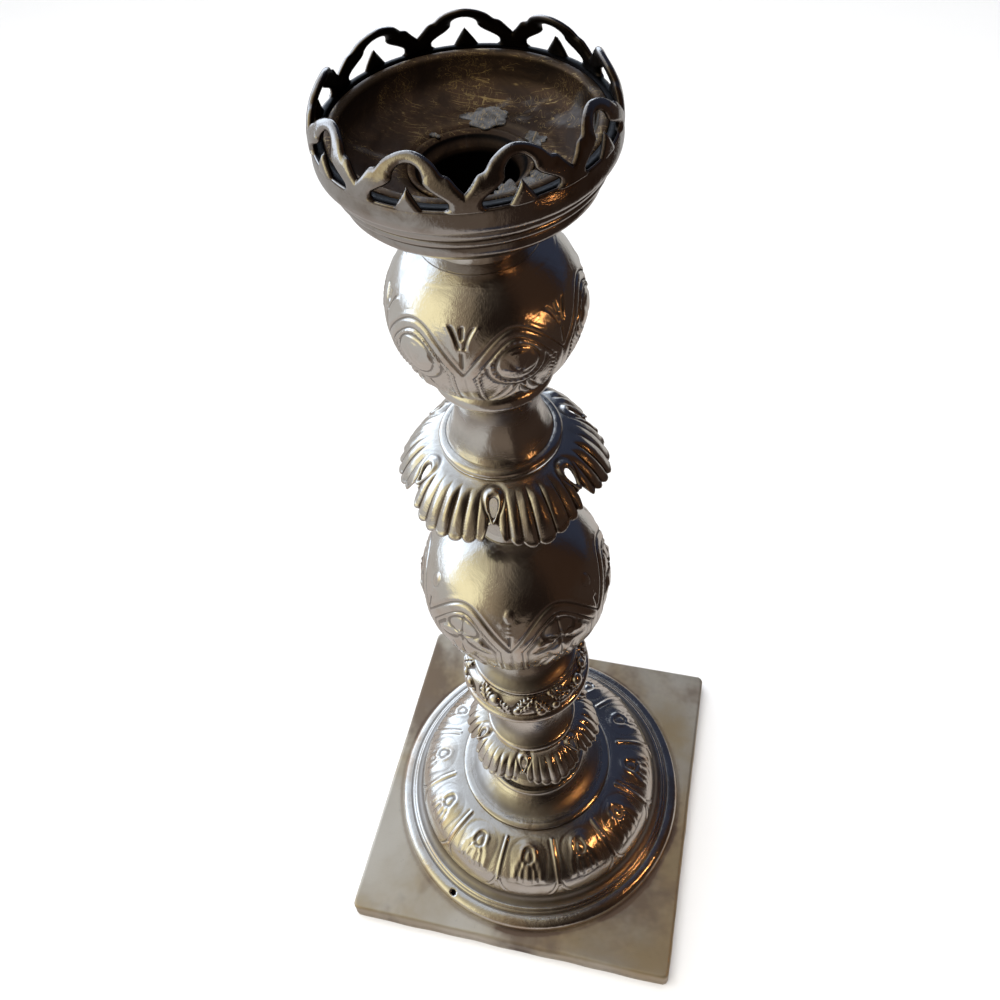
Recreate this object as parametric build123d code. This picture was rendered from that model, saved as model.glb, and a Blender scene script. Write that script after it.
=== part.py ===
"""Altar candlestick: spun and pressed shells stacked on one clamping rod.

The square plate stands on Z = 0 and the stem rises along +Z. A profile runs up
the outside of a piece as (radius, height) in millimetres, and its wall lies
towards the axis. The candle cup lifts off: its socket drops into the ferrule.
"""
import math
import os

from build123d import *

# ---- driving dimensions, millimetres ----
BASE_SIDE = 125.0
PLATE_TOP = 7.5
SHEET = 1.2            # wall of the plate, foot, stem and bowl shells
THIN = 0.8             # wall of the two leaf collars
CORNER_R = 3.0

FOOT_R = 57.8          # outside of the foot's rolled rim
SEAM_R = 29.6          # joint between the foot and the riser
SEAM_Z = 32.2
VENT_R = 1.2
VENT_ANGLE = -115.0    # degrees from +X

RISER_RING_R = 19.8
RISER_RING_Z = 40.6
LOWER_LEAF_R = 25.7    # lobe tips of the small collar
LOWER_LEAF_Z = 57.5
LOWER_SPOOL_Z = 71.0   # foot of the small spool
KNOP_R = 23.0
KNOP_Z = 104.7
NECK_R = 18.5
NECK_Z = 115.4
LOWER_GLOBE_R = 31.0
LOWER_GLOBE_Z = 162.0
UPPER_LEAF_R = 31.0    # lobe tips of the large collar
UPPER_LEAF_Z = 216.0
UPPER_SPOOL_R = 18.0
UPPER_SPOOL_Z = 231.8
SEAT_R = 16.8
SEAT_Z = 257.0
UPPER_GLOBE_R = 26.0
UPPER_GLOBE_Z = 282.0
FERRULE_CAP_R = 15.2
LOBES = 6
LOWER_LEAF_TURN = -56.0    # direction of the first lobe, degrees from +X
UPPER_LEAF_TURN = -52.0

SHOULDER_Z = 308.0     # where the cup rests on the ferrule
SHOULDER_R = 13.3
CANDLE_R = 11.25       # bore for a 22 mm candle
SOCKET_R = 12.0
SOCKET_BOTTOM = 299.5
SOCKET_DEPTH = 22.4
SOCKET_FIT = 0.05      # radial play of the socket in the ferrule
PAN_Z = 323.4          # inner edge of the pan, at the socket's mouth
LIMB_R = 30.6          # widest part of the bowl's underside
LIMB_Z = 320.8
WALL_R = 32.2          # outside of the bowl's upright wall
RIM_R = 35.5
RIM_Z = 329.4
RIM_TOP = 336.0
GALLERY_H = 11.6
GALLERY_LEAN = 4.6     # how far the gallery's crest leans towards the axis
ARCHES = 9
GALLERY_TURN = -52.0   # direction of the first arch, degrees from +X

ROD_R = 3.0
ROD_HOLE_R = 3.15
NUT_R = 5.6            # hexagon, across corners
NUT_H = 3.0
WASHER_R = 8.6
WASHER_H = 1.0
BOARD_SEAT = NUT_H + WASHER_H + 0.6    # top of the washer in the board's recess
FERRULE_FLOOR = 293.0
TOP_SEAT = FERRULE_FLOOR + 1.6


def spun(profile, wall=SHEET, stations=12):
    """A shell turned about Z whose seen side follows the profile.

    The wall lies to the left of the profile's direction, and its other side is a
    smooth curve one wall thickness away. A steep end of the wall is cut level, and
    a flat end is cut upright, so that stacked pieces meet.
    """
    outside = Wire(profile.edges())
    inside = []
    for k in range(stations + 1):
        spot, heading = outside @ (k / stations), outside % (k / stations)
        inward = Vector(-heading.Y, heading.X) * wall
        if k in (0, stations):
            steep = abs(heading.Y) > abs(heading.X)
            level = Vector(-math.copysign(wall, heading.Y), 0)
            upright = Vector(0, math.copysign(wall, heading.X))
            inward = level if steep else upright
        inside.append(spot + inward)
    ends = [Line(outside @ 0, inside[0]), Line(outside @ 1, inside[-1])]
    return turned(outside.edges() + ends + [Spline(*inside)])


def turned(outline):
    """A solid turned about Z from a closed outline."""
    return revolve(Plane.XZ * make_face(outline), Axis.Z)


def sleeve(outer_r, inner_r, z_low, z_high):
    """A plain ring between two heights."""
    wall = Cylinder(outer_r, z_high - z_low) - Cylinder(inner_r, z_high - z_low)
    return Pos(0, 0, (z_low + z_high) / 2) * wall


def ring_bead(outer_r, z, bead_r, inner_r):
    """A round bead whose flat back has the given radius."""
    bead = Circle(bead_r).moved(Location((outer_r - bead_r, z)))
    band = Pos((outer_r - bead_r + inner_r) / 2, z) * Rectangle(outer_r - bead_r - inner_r, 2 * bead_r)
    return revolve(Plane.XZ * (bead + band), Axis.Z)


def ball_height(ball_r, ball_z, at_r, side):
    """Height at which a ball has the given radius, below (-1) or above (+1)."""
    return ball_z + side * math.sqrt(ball_r ** 2 - at_r ** 2)


def around(count, first=0.0):
    """Turns about Z, evenly spaced."""
    return [Rot(0, 0, first + 360.0 * k / count) for k in range(count)]


# ---- square base ----
def base_plate():
    """Sheet tray with folded sides; the rod passes through its middle."""
    block = Pos(0, 0, PLATE_TOP / 2) * Box(BASE_SIDE, BASE_SIDE, PLATE_TOP)
    block = fillet(block.edges().filter_by(Axis.Z), CORNER_R)
    block = fillet(block.faces().sort_by(Axis.Z)[-1].edges(), SHEET)
    hollow = base_board_block()
    return block - hollow - Cylinder(ROD_HOLE_R, 4 * PLATE_TOP)


def base_board_block():
    side = BASE_SIDE - 2 * SHEET
    height = PLATE_TOP - SHEET
    block = Pos(0, 0, height / 2) * Box(side, side, height)
    return fillet(block.edges().filter_by(Axis.Z), CORNER_R - SHEET)


def base_board():
    """Wooden board that fills the tray, recessed for the nut and washer."""
    recess = Cylinder(WASHER_R + 0.6, 2 * BOARD_SEAT)
    return base_board_block() - recess - Cylinder(ROD_HOLE_R, 4 * PLATE_TOP)


# ---- foot ----
def foot_dome():
    """Rolled rim, two fine steps, a cove and a convex shoulder up to the seam."""
    rim_in, step, cove_r, band_r = 53.4, 1.1, 48.3, 36.0
    profile = Line((FOOT_R - 0.3, PLATE_TOP), (FOOT_R, PLATE_TOP + 1.2))
    profile += ThreePointArc((FOOT_R, PLATE_TOP + 1.2), (56.6, 11.5), (rim_in, 12.2))
    profile += Polyline((rim_in, 12.2), (rim_in - step, 12.9), (rim_in - 2 * step, 13.5))
    profile += ThreePointArc((rim_in - 2 * step, 13.5), (49.0, 14.9), (cove_r, 17.5))
    profile += Spline((cove_r, 17.5), (44.2, 25.6), (band_r, 30.8), (SEAM_R, SEAM_Z),
                      tangents=((0, 1), (-1, 0.1)))
    vent = Pos(56.0, 0, 11.6) * Rot(0, 35, 0) * Cylinder(VENT_R, 5)
    return spun(profile) - Rot(0, 0, VENT_ANGLE) * vent


def bell_riser():
    """Low bell between the foot's seam and the riser ring."""
    lip = SEAM_Z + 0.9
    profile = Line((SEAM_R, SEAM_Z), (SEAM_R - 0.7, lip))
    profile += Spline((SEAM_R - 0.7, lip), (24.4, 34.4), (20.6, 37.2), (19.0, 39.2),
                      tangents=((-1, 0.1), (-0.3, 1)))
    return spun(profile)


def riser_ring():
    return ring_bead(RISER_RING_R, RISER_RING_Z, 1.4, 14.0)


def riser_neck():
    """Waisted tube that carries the small leaf collar."""
    z_low, z_high = RISER_RING_Z + 1.4, LOWER_SPOOL_Z - 2.4
    profile = Spline((17.0, z_low), (12.4, z_low + 7), (11.4, z_low + 16), (12.6, z_high),
                     tangents=((-0.6, 1), (0.1, 1)))
    return spun(profile)


# ---- leaf collars ----
def lobed(tip_r, notch_r, height):
    """Prism whose plan is a ring of round lobes, from notch radius to tip radius."""
    half = 180.0 / LOBES
    side, side_r = half * 0.62, tip_r - 0.6
    points = []
    for lobe in range(LOBES):
        middle = math.radians(360.0 / LOBES * lobe)
        for turn, reach in ((-half, notch_r), (-side, side_r), (0, tip_r), (side, side_r)):
            angle = middle + math.radians(turn)
            points.append((reach * math.cos(angle), reach * math.sin(angle)))
    edges = []
    for k in range(LOBES):
        a, b, c, d = points[4 * k:4 * k + 4]
        e = points[(4 * k + 4) % len(points)]
        edges += [Line(a, b), ThreePointArc(b, c, d), Line(d, e)]
    return extrude(make_face(edges), height)


def leaf_collar(profile, tip_r, notch_r, hole_at, hole_r, first):
    """Umbrella of six lobes with an oval piercing between each pair."""
    low = profile.bounding_box().min.Y - 5
    collar = spun(profile, THIN) & Pos(0, 0, low) * lobed(tip_r, notch_r, 60)
    for turn in around(LOBES, 180.0 / LOBES):
        collar -= turn * Pos(hole_at, 0, low + 30) * Cylinder(hole_r, 80)
    return Rot(0, 0, first) * collar


def lower_leaf_collar():
    top, flat_r = LOWER_SPOOL_Z - 1.6, 16.4
    profile = Spline((LOWER_LEAF_R + 0.9, LOWER_LEAF_Z - 2.0), (23.0, LOWER_LEAF_Z + 5.5), (flat_r, top),
                     tangents=((-0.3, 1), (-1, 0)))
    profile += Line((flat_r, top), (10.5, top))
    return leaf_collar(profile, LOWER_LEAF_R, LOWER_LEAF_R - 2.6, LOWER_LEAF_R - 4.4, 0.9, LOWER_LEAF_TURN)


def upper_leaf_collar():
    top, flat_r = UPPER_SPOOL_Z - 1.7, UPPER_SPOOL_R
    profile = Spline((UPPER_LEAF_R + 0.8, UPPER_LEAF_Z - 2.0), (27.6, UPPER_LEAF_Z + 8.5), (flat_r, top),
                     tangents=((-0.2, 1), (-1, 0)))
    profile += Line((flat_r, top), (11.0, top))
    return leaf_collar(profile, UPPER_LEAF_R, UPPER_LEAF_R - 3.6, UPPER_LEAF_R - 6.4, 1.5, UPPER_LEAF_TURN)


# ---- lower stem ----
def lower_spool():
    """Rounded foot ring and a slim concave cone up to the knop."""
    foot = LOWER_SPOOL_Z - 1.6
    profile = ThreePointArc((15.8, foot), (16.9, LOWER_SPOOL_Z), (15.6, foot + 3.0))
    profile += Spline((15.6, foot + 3.0), (11.4, foot + 12), (9.4, foot + 22), (10.0, KNOP_Z - 4.4),
                      tangents=((-0.5, 1), (0.2, 1)))
    return spun(profile)


def knop_ring():
    """Rounded bottom rim of the knop."""
    return ring_bead(KNOP_R, KNOP_Z, 1.9, 19.0)


def knop_cup():
    """Squat knop: an underside inside the rim and a bulged side above it."""
    wall_z = KNOP_Z + 1.9
    profile = Line((10.0, KNOP_Z - 4.4), (18.9, KNOP_Z - 1.9))
    profile += Line((18.9, KNOP_Z - 1.9), (18.9, wall_z))
    profile += Line((18.9, wall_z), (21.6, wall_z))
    profile += Spline((21.6, wall_z), (22.0, wall_z + 2.4), (NECK_R + 0.4, NECK_Z - 0.9),
                      tangents=((0.4, 1), (-1, 1)))
    return spun(profile, THIN)


def neck_dish():
    """Small bead and a concave dish that cups the lower globe."""
    seat = ball_height(LOWER_GLOBE_R, LOWER_GLOBE_Z, 12.4, -1)
    profile = ThreePointArc((NECK_R - 0.4, NECK_Z - 0.9), (NECK_R, NECK_Z), (NECK_R - 0.6, NECK_Z + 0.9))
    profile += Spline((NECK_R - 0.6, NECK_Z + 0.9), (13.6, NECK_Z + 6.5), (11.9, NECK_Z + 13), (12.4, seat),
                      tangents=((-1, 0.5), (0.3, 1)))
    return spun(profile)


# ---- globes ----
def globe(ball_r, ball_z, open_low, open_high):
    """Hollow ball open at both poles, its wall ends cut level."""
    low = ball_height(ball_r, ball_z, open_low, -1)
    high = ball_height(ball_r, ball_z, open_high, 1)
    inner_r = ball_r - SHEET
    low_in, high_in = (math.sqrt(inner_r ** 2 - (z - ball_z) ** 2) for z in (low, high))
    outline = [ThreePointArc((open_low, low), (ball_r, ball_z), (open_high, high)),
               Line((open_high, high), (high_in, high)),
               ThreePointArc((high_in, high), (inner_r, ball_z), (low_in, low)),
               Line((low_in, low), (open_low, low))]
    return turned(outline)


def lower_globe():
    return globe(LOWER_GLOBE_R, LOWER_GLOBE_Z, 12.4, 10.4)


def upper_globe():
    return globe(UPPER_GLOBE_R, UPPER_GLOBE_Z, 15.4, FERRULE_CAP_R)


# ---- upper stem ----
def collar_neck():
    """Trumpet between the lower globe and the large leaf collar."""
    low = ball_height(LOWER_GLOBE_R, LOWER_GLOBE_Z, 10.4, 1)
    top = UPPER_SPOOL_Z - 1.7 - THIN
    profile = Spline((10.4, low), (8.8, low + 7), (10.2, top - 12), (14.6, top),
                     tangents=((-0.5, 1), (0.8, 1)))
    return spun(profile)


def spool_ring():
    return ring_bead(UPPER_SPOOL_R, UPPER_SPOOL_Z, 1.7, 12.8)


def upper_spool():
    """Concave cone between the spool ring and the globe's seat."""
    low, high = UPPER_SPOOL_Z + 1.7, SEAT_Z - 3.0
    profile = Spline((15.6, low), (12.8, low + 7), (11.6, low + 14), (12.8, high),
                     tangents=((-0.5, 1), (0.3, 1)))
    return spun(profile)


def seat_ring():
    """Flange that cups the underside of the upper globe."""
    seat = ball_height(UPPER_GLOBE_R, UPPER_GLOBE_Z, 15.4, -1)
    profile = Spline((12.8, SEAT_Z - 3.0), (15.8, SEAT_Z - 1.2), (SEAT_R, SEAT_Z + 0.6), (15.4, seat),
                     tangents=((0.6, 1), (-0.5, 1)))
    return spun(profile)


def top_ferrule():
    """Turned cup in the top of the globe: the nut sits in it and the socket plugs it."""
    bore_r, body_r = SOCKET_R + SOCKET_FIT, SOCKET_R + 0.9
    cap_z = ball_height(UPPER_GLOBE_R, UPPER_GLOBE_Z, FERRULE_CAP_R, 1)
    neck_z = ball_height(UPPER_GLOBE_R, UPPER_GLOBE_Z, SHOULDER_R, 1)
    outline = Polyline((FERRULE_CAP_R, cap_z), (SHOULDER_R, neck_z), (SHOULDER_R, SHOULDER_Z),
                       (bore_r, SHOULDER_Z), (bore_r, TOP_SEAT), (ROD_HOLE_R, TOP_SEAT),
                       (ROD_HOLE_R, FERRULE_FLOOR), (body_r, FERRULE_FLOOR), (body_r, cap_z), close=True)
    return turned(outline.edges())


# ---- clamping rod ----
def washer(z_low):
    return sleeve(WASHER_R, ROD_HOLE_R, z_low, z_low + WASHER_H)


def nut(z_low):
    hexagon = extrude(RegularPolygon(NUT_R, 6) - Circle(ROD_R), NUT_H)
    return Pos(0, 0, z_low) * hexagon


def base_washer():
    return washer(BOARD_SEAT - WASHER_H)


def base_nut():
    return nut(BOARD_SEAT - WASHER_H - NUT_H)


def top_washer():
    return washer(TOP_SEAT)


def top_nut():
    return nut(TOP_SEAT + WASHER_H)


def tie_rod():
    """Steel rod from the base nut to the top nut."""
    z_low, z_high = 0.5, TOP_SEAT + WASHER_H + NUT_H + 0.5
    rod = Pos(0, 0, (z_low + z_high) / 2) * Cylinder(ROD_R, z_high - z_low)
    return chamfer(rod.edges(), 0.4)


# ---- candle cup, which lifts off ----
def candle_socket():
    """Drawn cup with a flared mouth: it holds the candle and plugs into the ferrule."""
    lip_r, mouth_z, wall = 14.7, PAN_Z + 0.4, 0.8
    neck_z, floor_z = mouth_z - 2.8, mouth_z - SOCKET_DEPTH
    outline = Polyline((0, SOCKET_BOTTOM), (SOCKET_R - 0.6, SOCKET_BOTTOM),
                       (SOCKET_R, SOCKET_BOTTOM + 0.6), (SOCKET_R, neck_z - 0.4),
                       (lip_r, mouth_z - wall), (lip_r, mouth_z), (lip_r - 0.6, mouth_z),
                       (CANDLE_R, neck_z), (CANDLE_R, floor_z), (0, floor_z), close=True)
    return turned(outline.edges())


def cup_bowl():
    """Skirt on the ferrule, flared underside and upright wall."""
    profile = Spline((SHOULDER_R, SHOULDER_Z), (14.6, SHOULDER_Z + 3.6), (24.0, SHOULDER_Z + 7.2),
                     (LIMB_R, LIMB_Z), tangents=((0, 1), (0, 1)))
    profile += Polyline((LIMB_R, LIMB_Z), (LIMB_R, LIMB_Z + 3.2), (WALL_R, RIM_Z), (WALL_R, RIM_TOP))
    return spun(profile, stations=24)


def cup_pan():
    """Inner pan: upright wall, a step, and a floor that falls to the socket's mouth."""
    wall_r = WALL_R - 2 * SHEET
    profile = Spline((wall_r, RIM_TOP - 0.4), (wall_r - 0.4, RIM_TOP - 4.6), (27.8, RIM_TOP - 7.6),
                     (24.8, PAN_Z + 3.8), tangents=((0, -1), (-1, 0)))
    profile += Polyline((24.8, PAN_Z + 3.8), (23.6, PAN_Z + 2.8))
    profile += Spline((23.6, PAN_Z + 2.8), (19.4, PAN_Z + 2.0), (14.8, PAN_Z), tangents=((-1, 0), (-1, -0.6)))
    return spun(profile, THIN, stations=24)


def cup_moulding():
    """Bead and groove under the rim."""
    z_low = LIMB_Z + 3.2
    outline = Polyline((LIMB_R, z_low), (31.4, z_low + 0.2), (32.4, z_low + 1.4), (32.2, z_low + 2.6),
                       (33.4, z_low + 3.6), (33.6, RIM_Z), (WALL_R, RIM_Z), close=True)
    return turned(outline.edges())


def cup_rim():
    """Rounded band around the bowl's edge."""
    outline = [Polyline((WALL_R, RIM_TOP), (WALL_R, RIM_Z), (34.2, RIM_Z)),
               ThreePointArc((34.2, RIM_Z), (RIM_R, RIM_Z + 2.4), (34.9, RIM_TOP)),
               Line((34.9, RIM_TOP), (WALL_R, RIM_TOP))]
    edges = [edge for part in outline for edge in part.edges()]
    return turned(edges)


def cup_gallery():
    """Ring of pierced arches on the rim, leaning towards the axis."""
    foot_r, wall = 34.8, 1.5
    crest_r = foot_r - GALLERY_LEAN
    crest = RIM_TOP + GALLERY_H
    knee_r, knee = foot_r - 0.6, RIM_TOP + 4
    outline = Polyline((foot_r - wall, RIM_TOP), (foot_r, RIM_TOP), (knee_r, knee), (crest_r, crest),
                       (crest_r - wall, crest), (knee_r - wall, knee), close=True)
    band = turned(outline.edges())
    pitch = 2 * math.pi * foot_r / ARCHES
    half = pitch / 2
    window = [Line((-half * 0.62, 1.6), (half * 0.62, 1.6)),
              Spline((half * 0.62, 1.6), (half * 0.64, 5.6), (0, GALLERY_H - 2.2), (-half * 0.64, 5.6),
                     (-half * 0.62, 1.6))]
    gap = [Spline((half * 0.42, GALLERY_H + 2), (half * 0.78, 7.4), (half, 2.4)),
           Spline((half, 2.4), (half * 1.22, 7.4), (half * 1.58, GALLERY_H + 2)),
           Line((half * 1.58, GALLERY_H + 2), (half * 0.42, GALLERY_H + 2))]
    face_plane = Plane(origin=(foot_r - 12, 0, RIM_TOP), x_dir=(0, 1, 0), z_dir=(1, 0, 0))
    spike = Polyline((-2.2, 1.5), (2.2, 1.5), (0, 6.2), close=True)
    cutter = make_face(window) - make_face(spike.edges()) + make_face(gap)
    for turn in around(ARCHES, GALLERY_TURN):
        band -= turn * extrude(face_plane * cutter, 20)
    return band


PIECES = {piece.__name__: piece for piece in (
    base_plate, base_board, foot_dome, bell_riser, riser_ring, riser_neck, lower_leaf_collar, lower_spool,
    knop_ring, knop_cup, neck_dish, lower_globe, collar_neck, upper_leaf_collar, spool_ring, upper_spool,
    seat_ring, upper_globe, top_ferrule, base_washer, base_nut, top_washer, top_nut, tie_rod,
    candle_socket, cup_pan, cup_bowl, cup_moulding, cup_rim, cup_gallery)}

os.makedirs("parts", exist_ok=True)
for name, make in PIECES.items():
    export_step(make(), f"parts/{name}.step")
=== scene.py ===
import math

import bpy
import numpy as np
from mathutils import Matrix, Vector


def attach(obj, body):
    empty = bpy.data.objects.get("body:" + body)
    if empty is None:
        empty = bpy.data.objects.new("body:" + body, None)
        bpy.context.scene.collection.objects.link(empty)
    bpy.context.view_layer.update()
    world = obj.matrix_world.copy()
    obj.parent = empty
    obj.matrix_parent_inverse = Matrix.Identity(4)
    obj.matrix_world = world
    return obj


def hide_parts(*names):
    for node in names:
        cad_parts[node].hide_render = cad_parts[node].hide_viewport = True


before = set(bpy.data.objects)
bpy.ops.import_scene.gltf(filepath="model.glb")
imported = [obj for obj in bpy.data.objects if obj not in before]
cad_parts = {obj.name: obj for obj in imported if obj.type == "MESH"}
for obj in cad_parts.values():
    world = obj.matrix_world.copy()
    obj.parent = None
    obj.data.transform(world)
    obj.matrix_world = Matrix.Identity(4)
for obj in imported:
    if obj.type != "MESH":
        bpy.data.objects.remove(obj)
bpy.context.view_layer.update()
mm = 0.001
fineStep = 0.42  # spacing of the rows along a profile, in mm


# lines, arcs and turned sections, in mm
def smoothLine(points, step=fineStep):
    # a cubic through the points, whose slope at each point comes from its neighbours
    points = np.array(points, float)
    chord = np.r_[0, np.cumsum(np.hypot(*np.diff(points, axis=0).T))]
    slope = np.gradient(points, chord, axis=0, edge_order=min(2, len(points) - 1))
    t = np.linspace(0, chord[-1], max(2, int(round(chord[-1] / step)) + 1))
    k = np.clip(np.searchsorted(chord, t, side="right") - 1, 0, len(chord) - 2)
    wide = (chord[k + 1] - chord[k])[:, None]
    u = (t - chord[k])[:, None] / wide
    startPart = (2 * u**3 - 3 * u**2 + 1) * points[k] + (u**3 - 2 * u**2 + u) * wide * slope[k]
    endPart = (3 * u**2 - 2 * u**3) * points[k + 1] + (u**3 - u**2) * wide * slope[k + 1]
    return startPart + endPart


def roundLine(centre, radius, fromDeg, toDeg, step=fineStep):
    # an arc about a centre, from one angle to another
    count = max(3, int(abs(math.radians(toDeg - fromDeg)) * radius / step) + 2)
    angle = np.radians(np.linspace(fromDeg, toDeg, count))
    return np.c_[centre[0] + radius * np.cos(angle), centre[1] + radius * np.sin(angle)]


def joined(*lines):
    # the lines end to end, without the points that repeat
    path = np.concatenate(lines)
    gap = np.hypot(*np.diff(path, axis=0).T)
    return path[np.r_[True, gap > 1e-4]]


def chained(*parts):
    # smooth lines end to end; each part gives its spacing and its points
    return joined(*[smoothLine(points, step) for step, points in parts])


def outwards(path, closed=False):
    # the direction square to the path, on its right hand side
    if closed:
        ahead = np.roll(path, -1, axis=0) - np.roll(path, 1, axis=0)
    else:
        ahead = np.gradient(path, axis=0)
    side = np.c_[ahead[:, 1], -ahead[:, 0]]
    return side / np.maximum(np.hypot(*side.T), 1e-9)[:, None]


def innerWall(path, wall, step=1.6):
    # the path moved inwards by the wall's thickness and run backwards
    length = np.r_[0, np.cumsum(np.hypot(*np.diff(path, axis=0).T))]
    stops = np.linspace(0, length[-1], max(3, int(length[-1] / step) + 1))
    coarse = np.c_[np.interp(stops, length, path[:, 0]), np.interp(stops, length, path[:, 1])]
    return (coarse - outwards(coarse) * wall)[::-1]


def softened(values, rows, columns, closedRows=False):
    # a running mean over a grid, which goes round in the second direction
    out = values
    for axis, reach in ((0, rows), (1, columns)):
        if reach < 1:
            continue
        mode = "wrap" if axis == 1 or closedRows else "edge"
        pad = [(0, 0)] * out.ndim
        pad[axis] = (reach, reach)
        total = np.cumsum(np.pad(out, pad, mode=mode), axis=axis)
        zero = np.zeros_like(np.take(total, [0], axis=axis))
        total = np.concatenate([zero, total], axis=axis)
        size = out.shape[axis]
        top = np.take(total, np.arange(size) + 2 * reach + 1, axis=axis)
        bottom = np.take(total, np.arange(size), axis=axis)
        out = (top - bottom) / (2 * reach + 1)
    return out


# shapes of relief
def hump(distance, width):
    # a bell: 1 where the distance is 0, falling away within the width
    return np.exp(-((distance / width) ** 2))


def ease(value, low, high):
    # 0 below low, 1 above high, smooth between them
    t = np.clip((value - low) / (high - low), 0, 1)
    return t * t * (3 - 2 * t)


def between(value, low, high, soft):
    # 1 from low to high, fading to 0 over soft on both sides
    return ease(value, low - soft, low) * (1 - ease(value, high, high + soft))


def folded(phi, first, pitch):
    # the angle in degrees from the nearest repeat
    return (phi - first + pitch / 2) % pitch - pitch / 2


def dented(phi, height, seed, size, deep):
    # slow swells of hand-worked sheet: a few waves of random turn and phase
    random = np.random.default_rng(seed)
    out = 0.0
    for wave in range(7):
        turns = random.integers(1, 9)
        along = random.uniform(0.5, 2.2) / size
        phase = random.uniform(0, 2 * math.pi, 2)
        out = out + np.sin(turns * np.radians(phi) + phase[0]) * np.sin(along * height + phase[1])
    return deep * out / 3


# meshes
paintedShadeMark = (1.6, 2.2)  # a "hollow" mark from which a finish turns black as painted shade, and where it is all black painted shade


def putMesh(name, points, quads, marks):
    # points in mm and quads make an object; marks are written as point attributes
    mesh = bpy.data.meshes.new(name)
    mesh.vertices.add(len(points))
    mesh.vertices.foreach_set("co", (points * mm).astype(np.float32).ravel())
    mesh.loops.add(quads.size)
    mesh.loops.foreach_set("vertex_index", quads.astype(np.int32).ravel())
    mesh.polygons.add(len(quads))
    mesh.polygons.foreach_set("loop_start", np.arange(0, quads.size, 4, dtype=np.int32))
    mesh.polygons.foreach_set("use_smooth", np.ones(len(quads), bool))
    for key, value in marks.items():
        attribute = mesh.attributes.new(key, "FLOAT", "POINT")
        attribute.data.foreach_set("value", value.astype(np.float32).ravel())
    mesh.update(calc_edges=True)
    mesh.validate()
    piece = bpy.data.objects.new(name, mesh)
    bpy.context.scene.collection.objects.link(piece)
    return piece


def settle(piece, nodes, body, finish):
    # the finish, the body it rides on and the nodes it stands in for
    piece.data.materials.append(finish)
    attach(piece, body)
    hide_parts(*nodes)
    return piece


def hollowMark(bulge, rows, columns, scale, closedRows=False):
    # how far a point lies below the mean of what is round it
    near = softened(softened(bulge, rows, columns, closedRows), rows, columns, closedRows)
    return np.clip((near - bulge) / scale, -1, 1)


def turned(name, outer, inner, finish, relief=None, body="stem", slotName="silver_plate",
           count=300, dent=0.03, tarnishAndShadeEnds=0.5, swellSize=9.0, paintedShade=None, innerPaintedShade=0.0):
    # A ring-shaped shell: a closed section turned about the axis.
    # Point = (r cos a, r sin a, z), where (r, z) runs up the outer line and down the inner one,
    # moved along the section's own normal by the relief and by slow swells.
    section = joined(outer, inner)
    if np.hypot(*(section[0] - section[-1])) < 1e-4:
        section = section[:-1]
    rows = len(outer)
    phi = np.linspace(0, 360, count, endpoint=False)[None, :]
    normal = outwards(section, closed=True)
    along = np.r_[0, np.cumsum(np.hypot(*np.diff(outer, axis=0).T))]
    height = np.zeros((len(section), count))
    ends = np.clip(np.minimum(along, along[-1] - along) / 1.5, 0, 1)[:, None]
    skin = dented(phi, along[:, None], len(name) + rows, swellSize, dent) * ends
    if relief is not None:
        pattern = relief(phi, along[:, None], outer[:, :1], outer[:, 1:])
        skin = skin + pattern * np.clip(ends * 3, 0, 1)
    height[:rows] = skin
    r = section[:, :1] + normal[:, :1] * height
    z = section[:, 1:] + normal[:, 1:] * height
    turn = np.radians(phi)
    points = np.stack([r * np.cos(turn), r * np.sin(turn), z], axis=2)
    hollow = np.zeros_like(height)
    hollow[:rows] = hollowMark(skin, 3, max(2, count // 120), 0.22)
    near = softened(softened(section, 3, 0, True), 3, 0, True)
    curved = ((near - section) * normal).sum(axis=1)[:, None]
    hollow = np.clip(hollow + np.clip(curved / 0.12, -1, 1), -1, 1)
    # the ends, where the piece meets the next, are darkened: tarnish, and at the strongest black painted
    # shade between the parts
    hollow[:rows] += tarnishAndShadeEnds * np.exp(-np.minimum(along, along[-1] - along) / 0.7)[:, None]
    # innerPaintedShade: the inside faces are marked to be painted black as shade
    hollow[rows:] = np.maximum(hollow[rows:], innerPaintedShade)
    # paintedShade: where the finish is painted black as shade, in holes, bores and gaps between parts
    if paintedShade is not None:
        hollow[:rows] += 4 * paintedShade(phi, along[:, None], outer[:, :1], outer[:, 1:])
    index = np.arange(len(section) * count).reshape(len(section), count)
    right = np.roll(index, -1, axis=1)
    above, aboveRight = np.roll(index, -1, axis=0), np.roll(right, -1, axis=0)
    quads = np.stack([index, right, aboveRight, above], axis=2).reshape(-1, 4)
    piece = putMesh(name + "_look", points.reshape(-1, 3), quads, {"hollow": hollow})
    return settle(piece, [name], body, finish)


def twoSided(quads, total):
    # front quads, the same turned over for the back, and walls along every edge without a neighbour
    edges = np.concatenate([quads[:, [k, (k + 1) % 4]] for k in range(4)])
    there = edges[:, 0] * total + edges[:, 1]
    backAgain = edges[:, 1] * total + edges[:, 0]
    rim = edges[~np.isin(there, backAgain)]
    walls = np.c_[rim[:, 1], rim[:, 0], rim[:, 0] + total, rim[:, 1] + total]
    return np.concatenate([quads, quads[:, ::-1] + total, walls])


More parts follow.
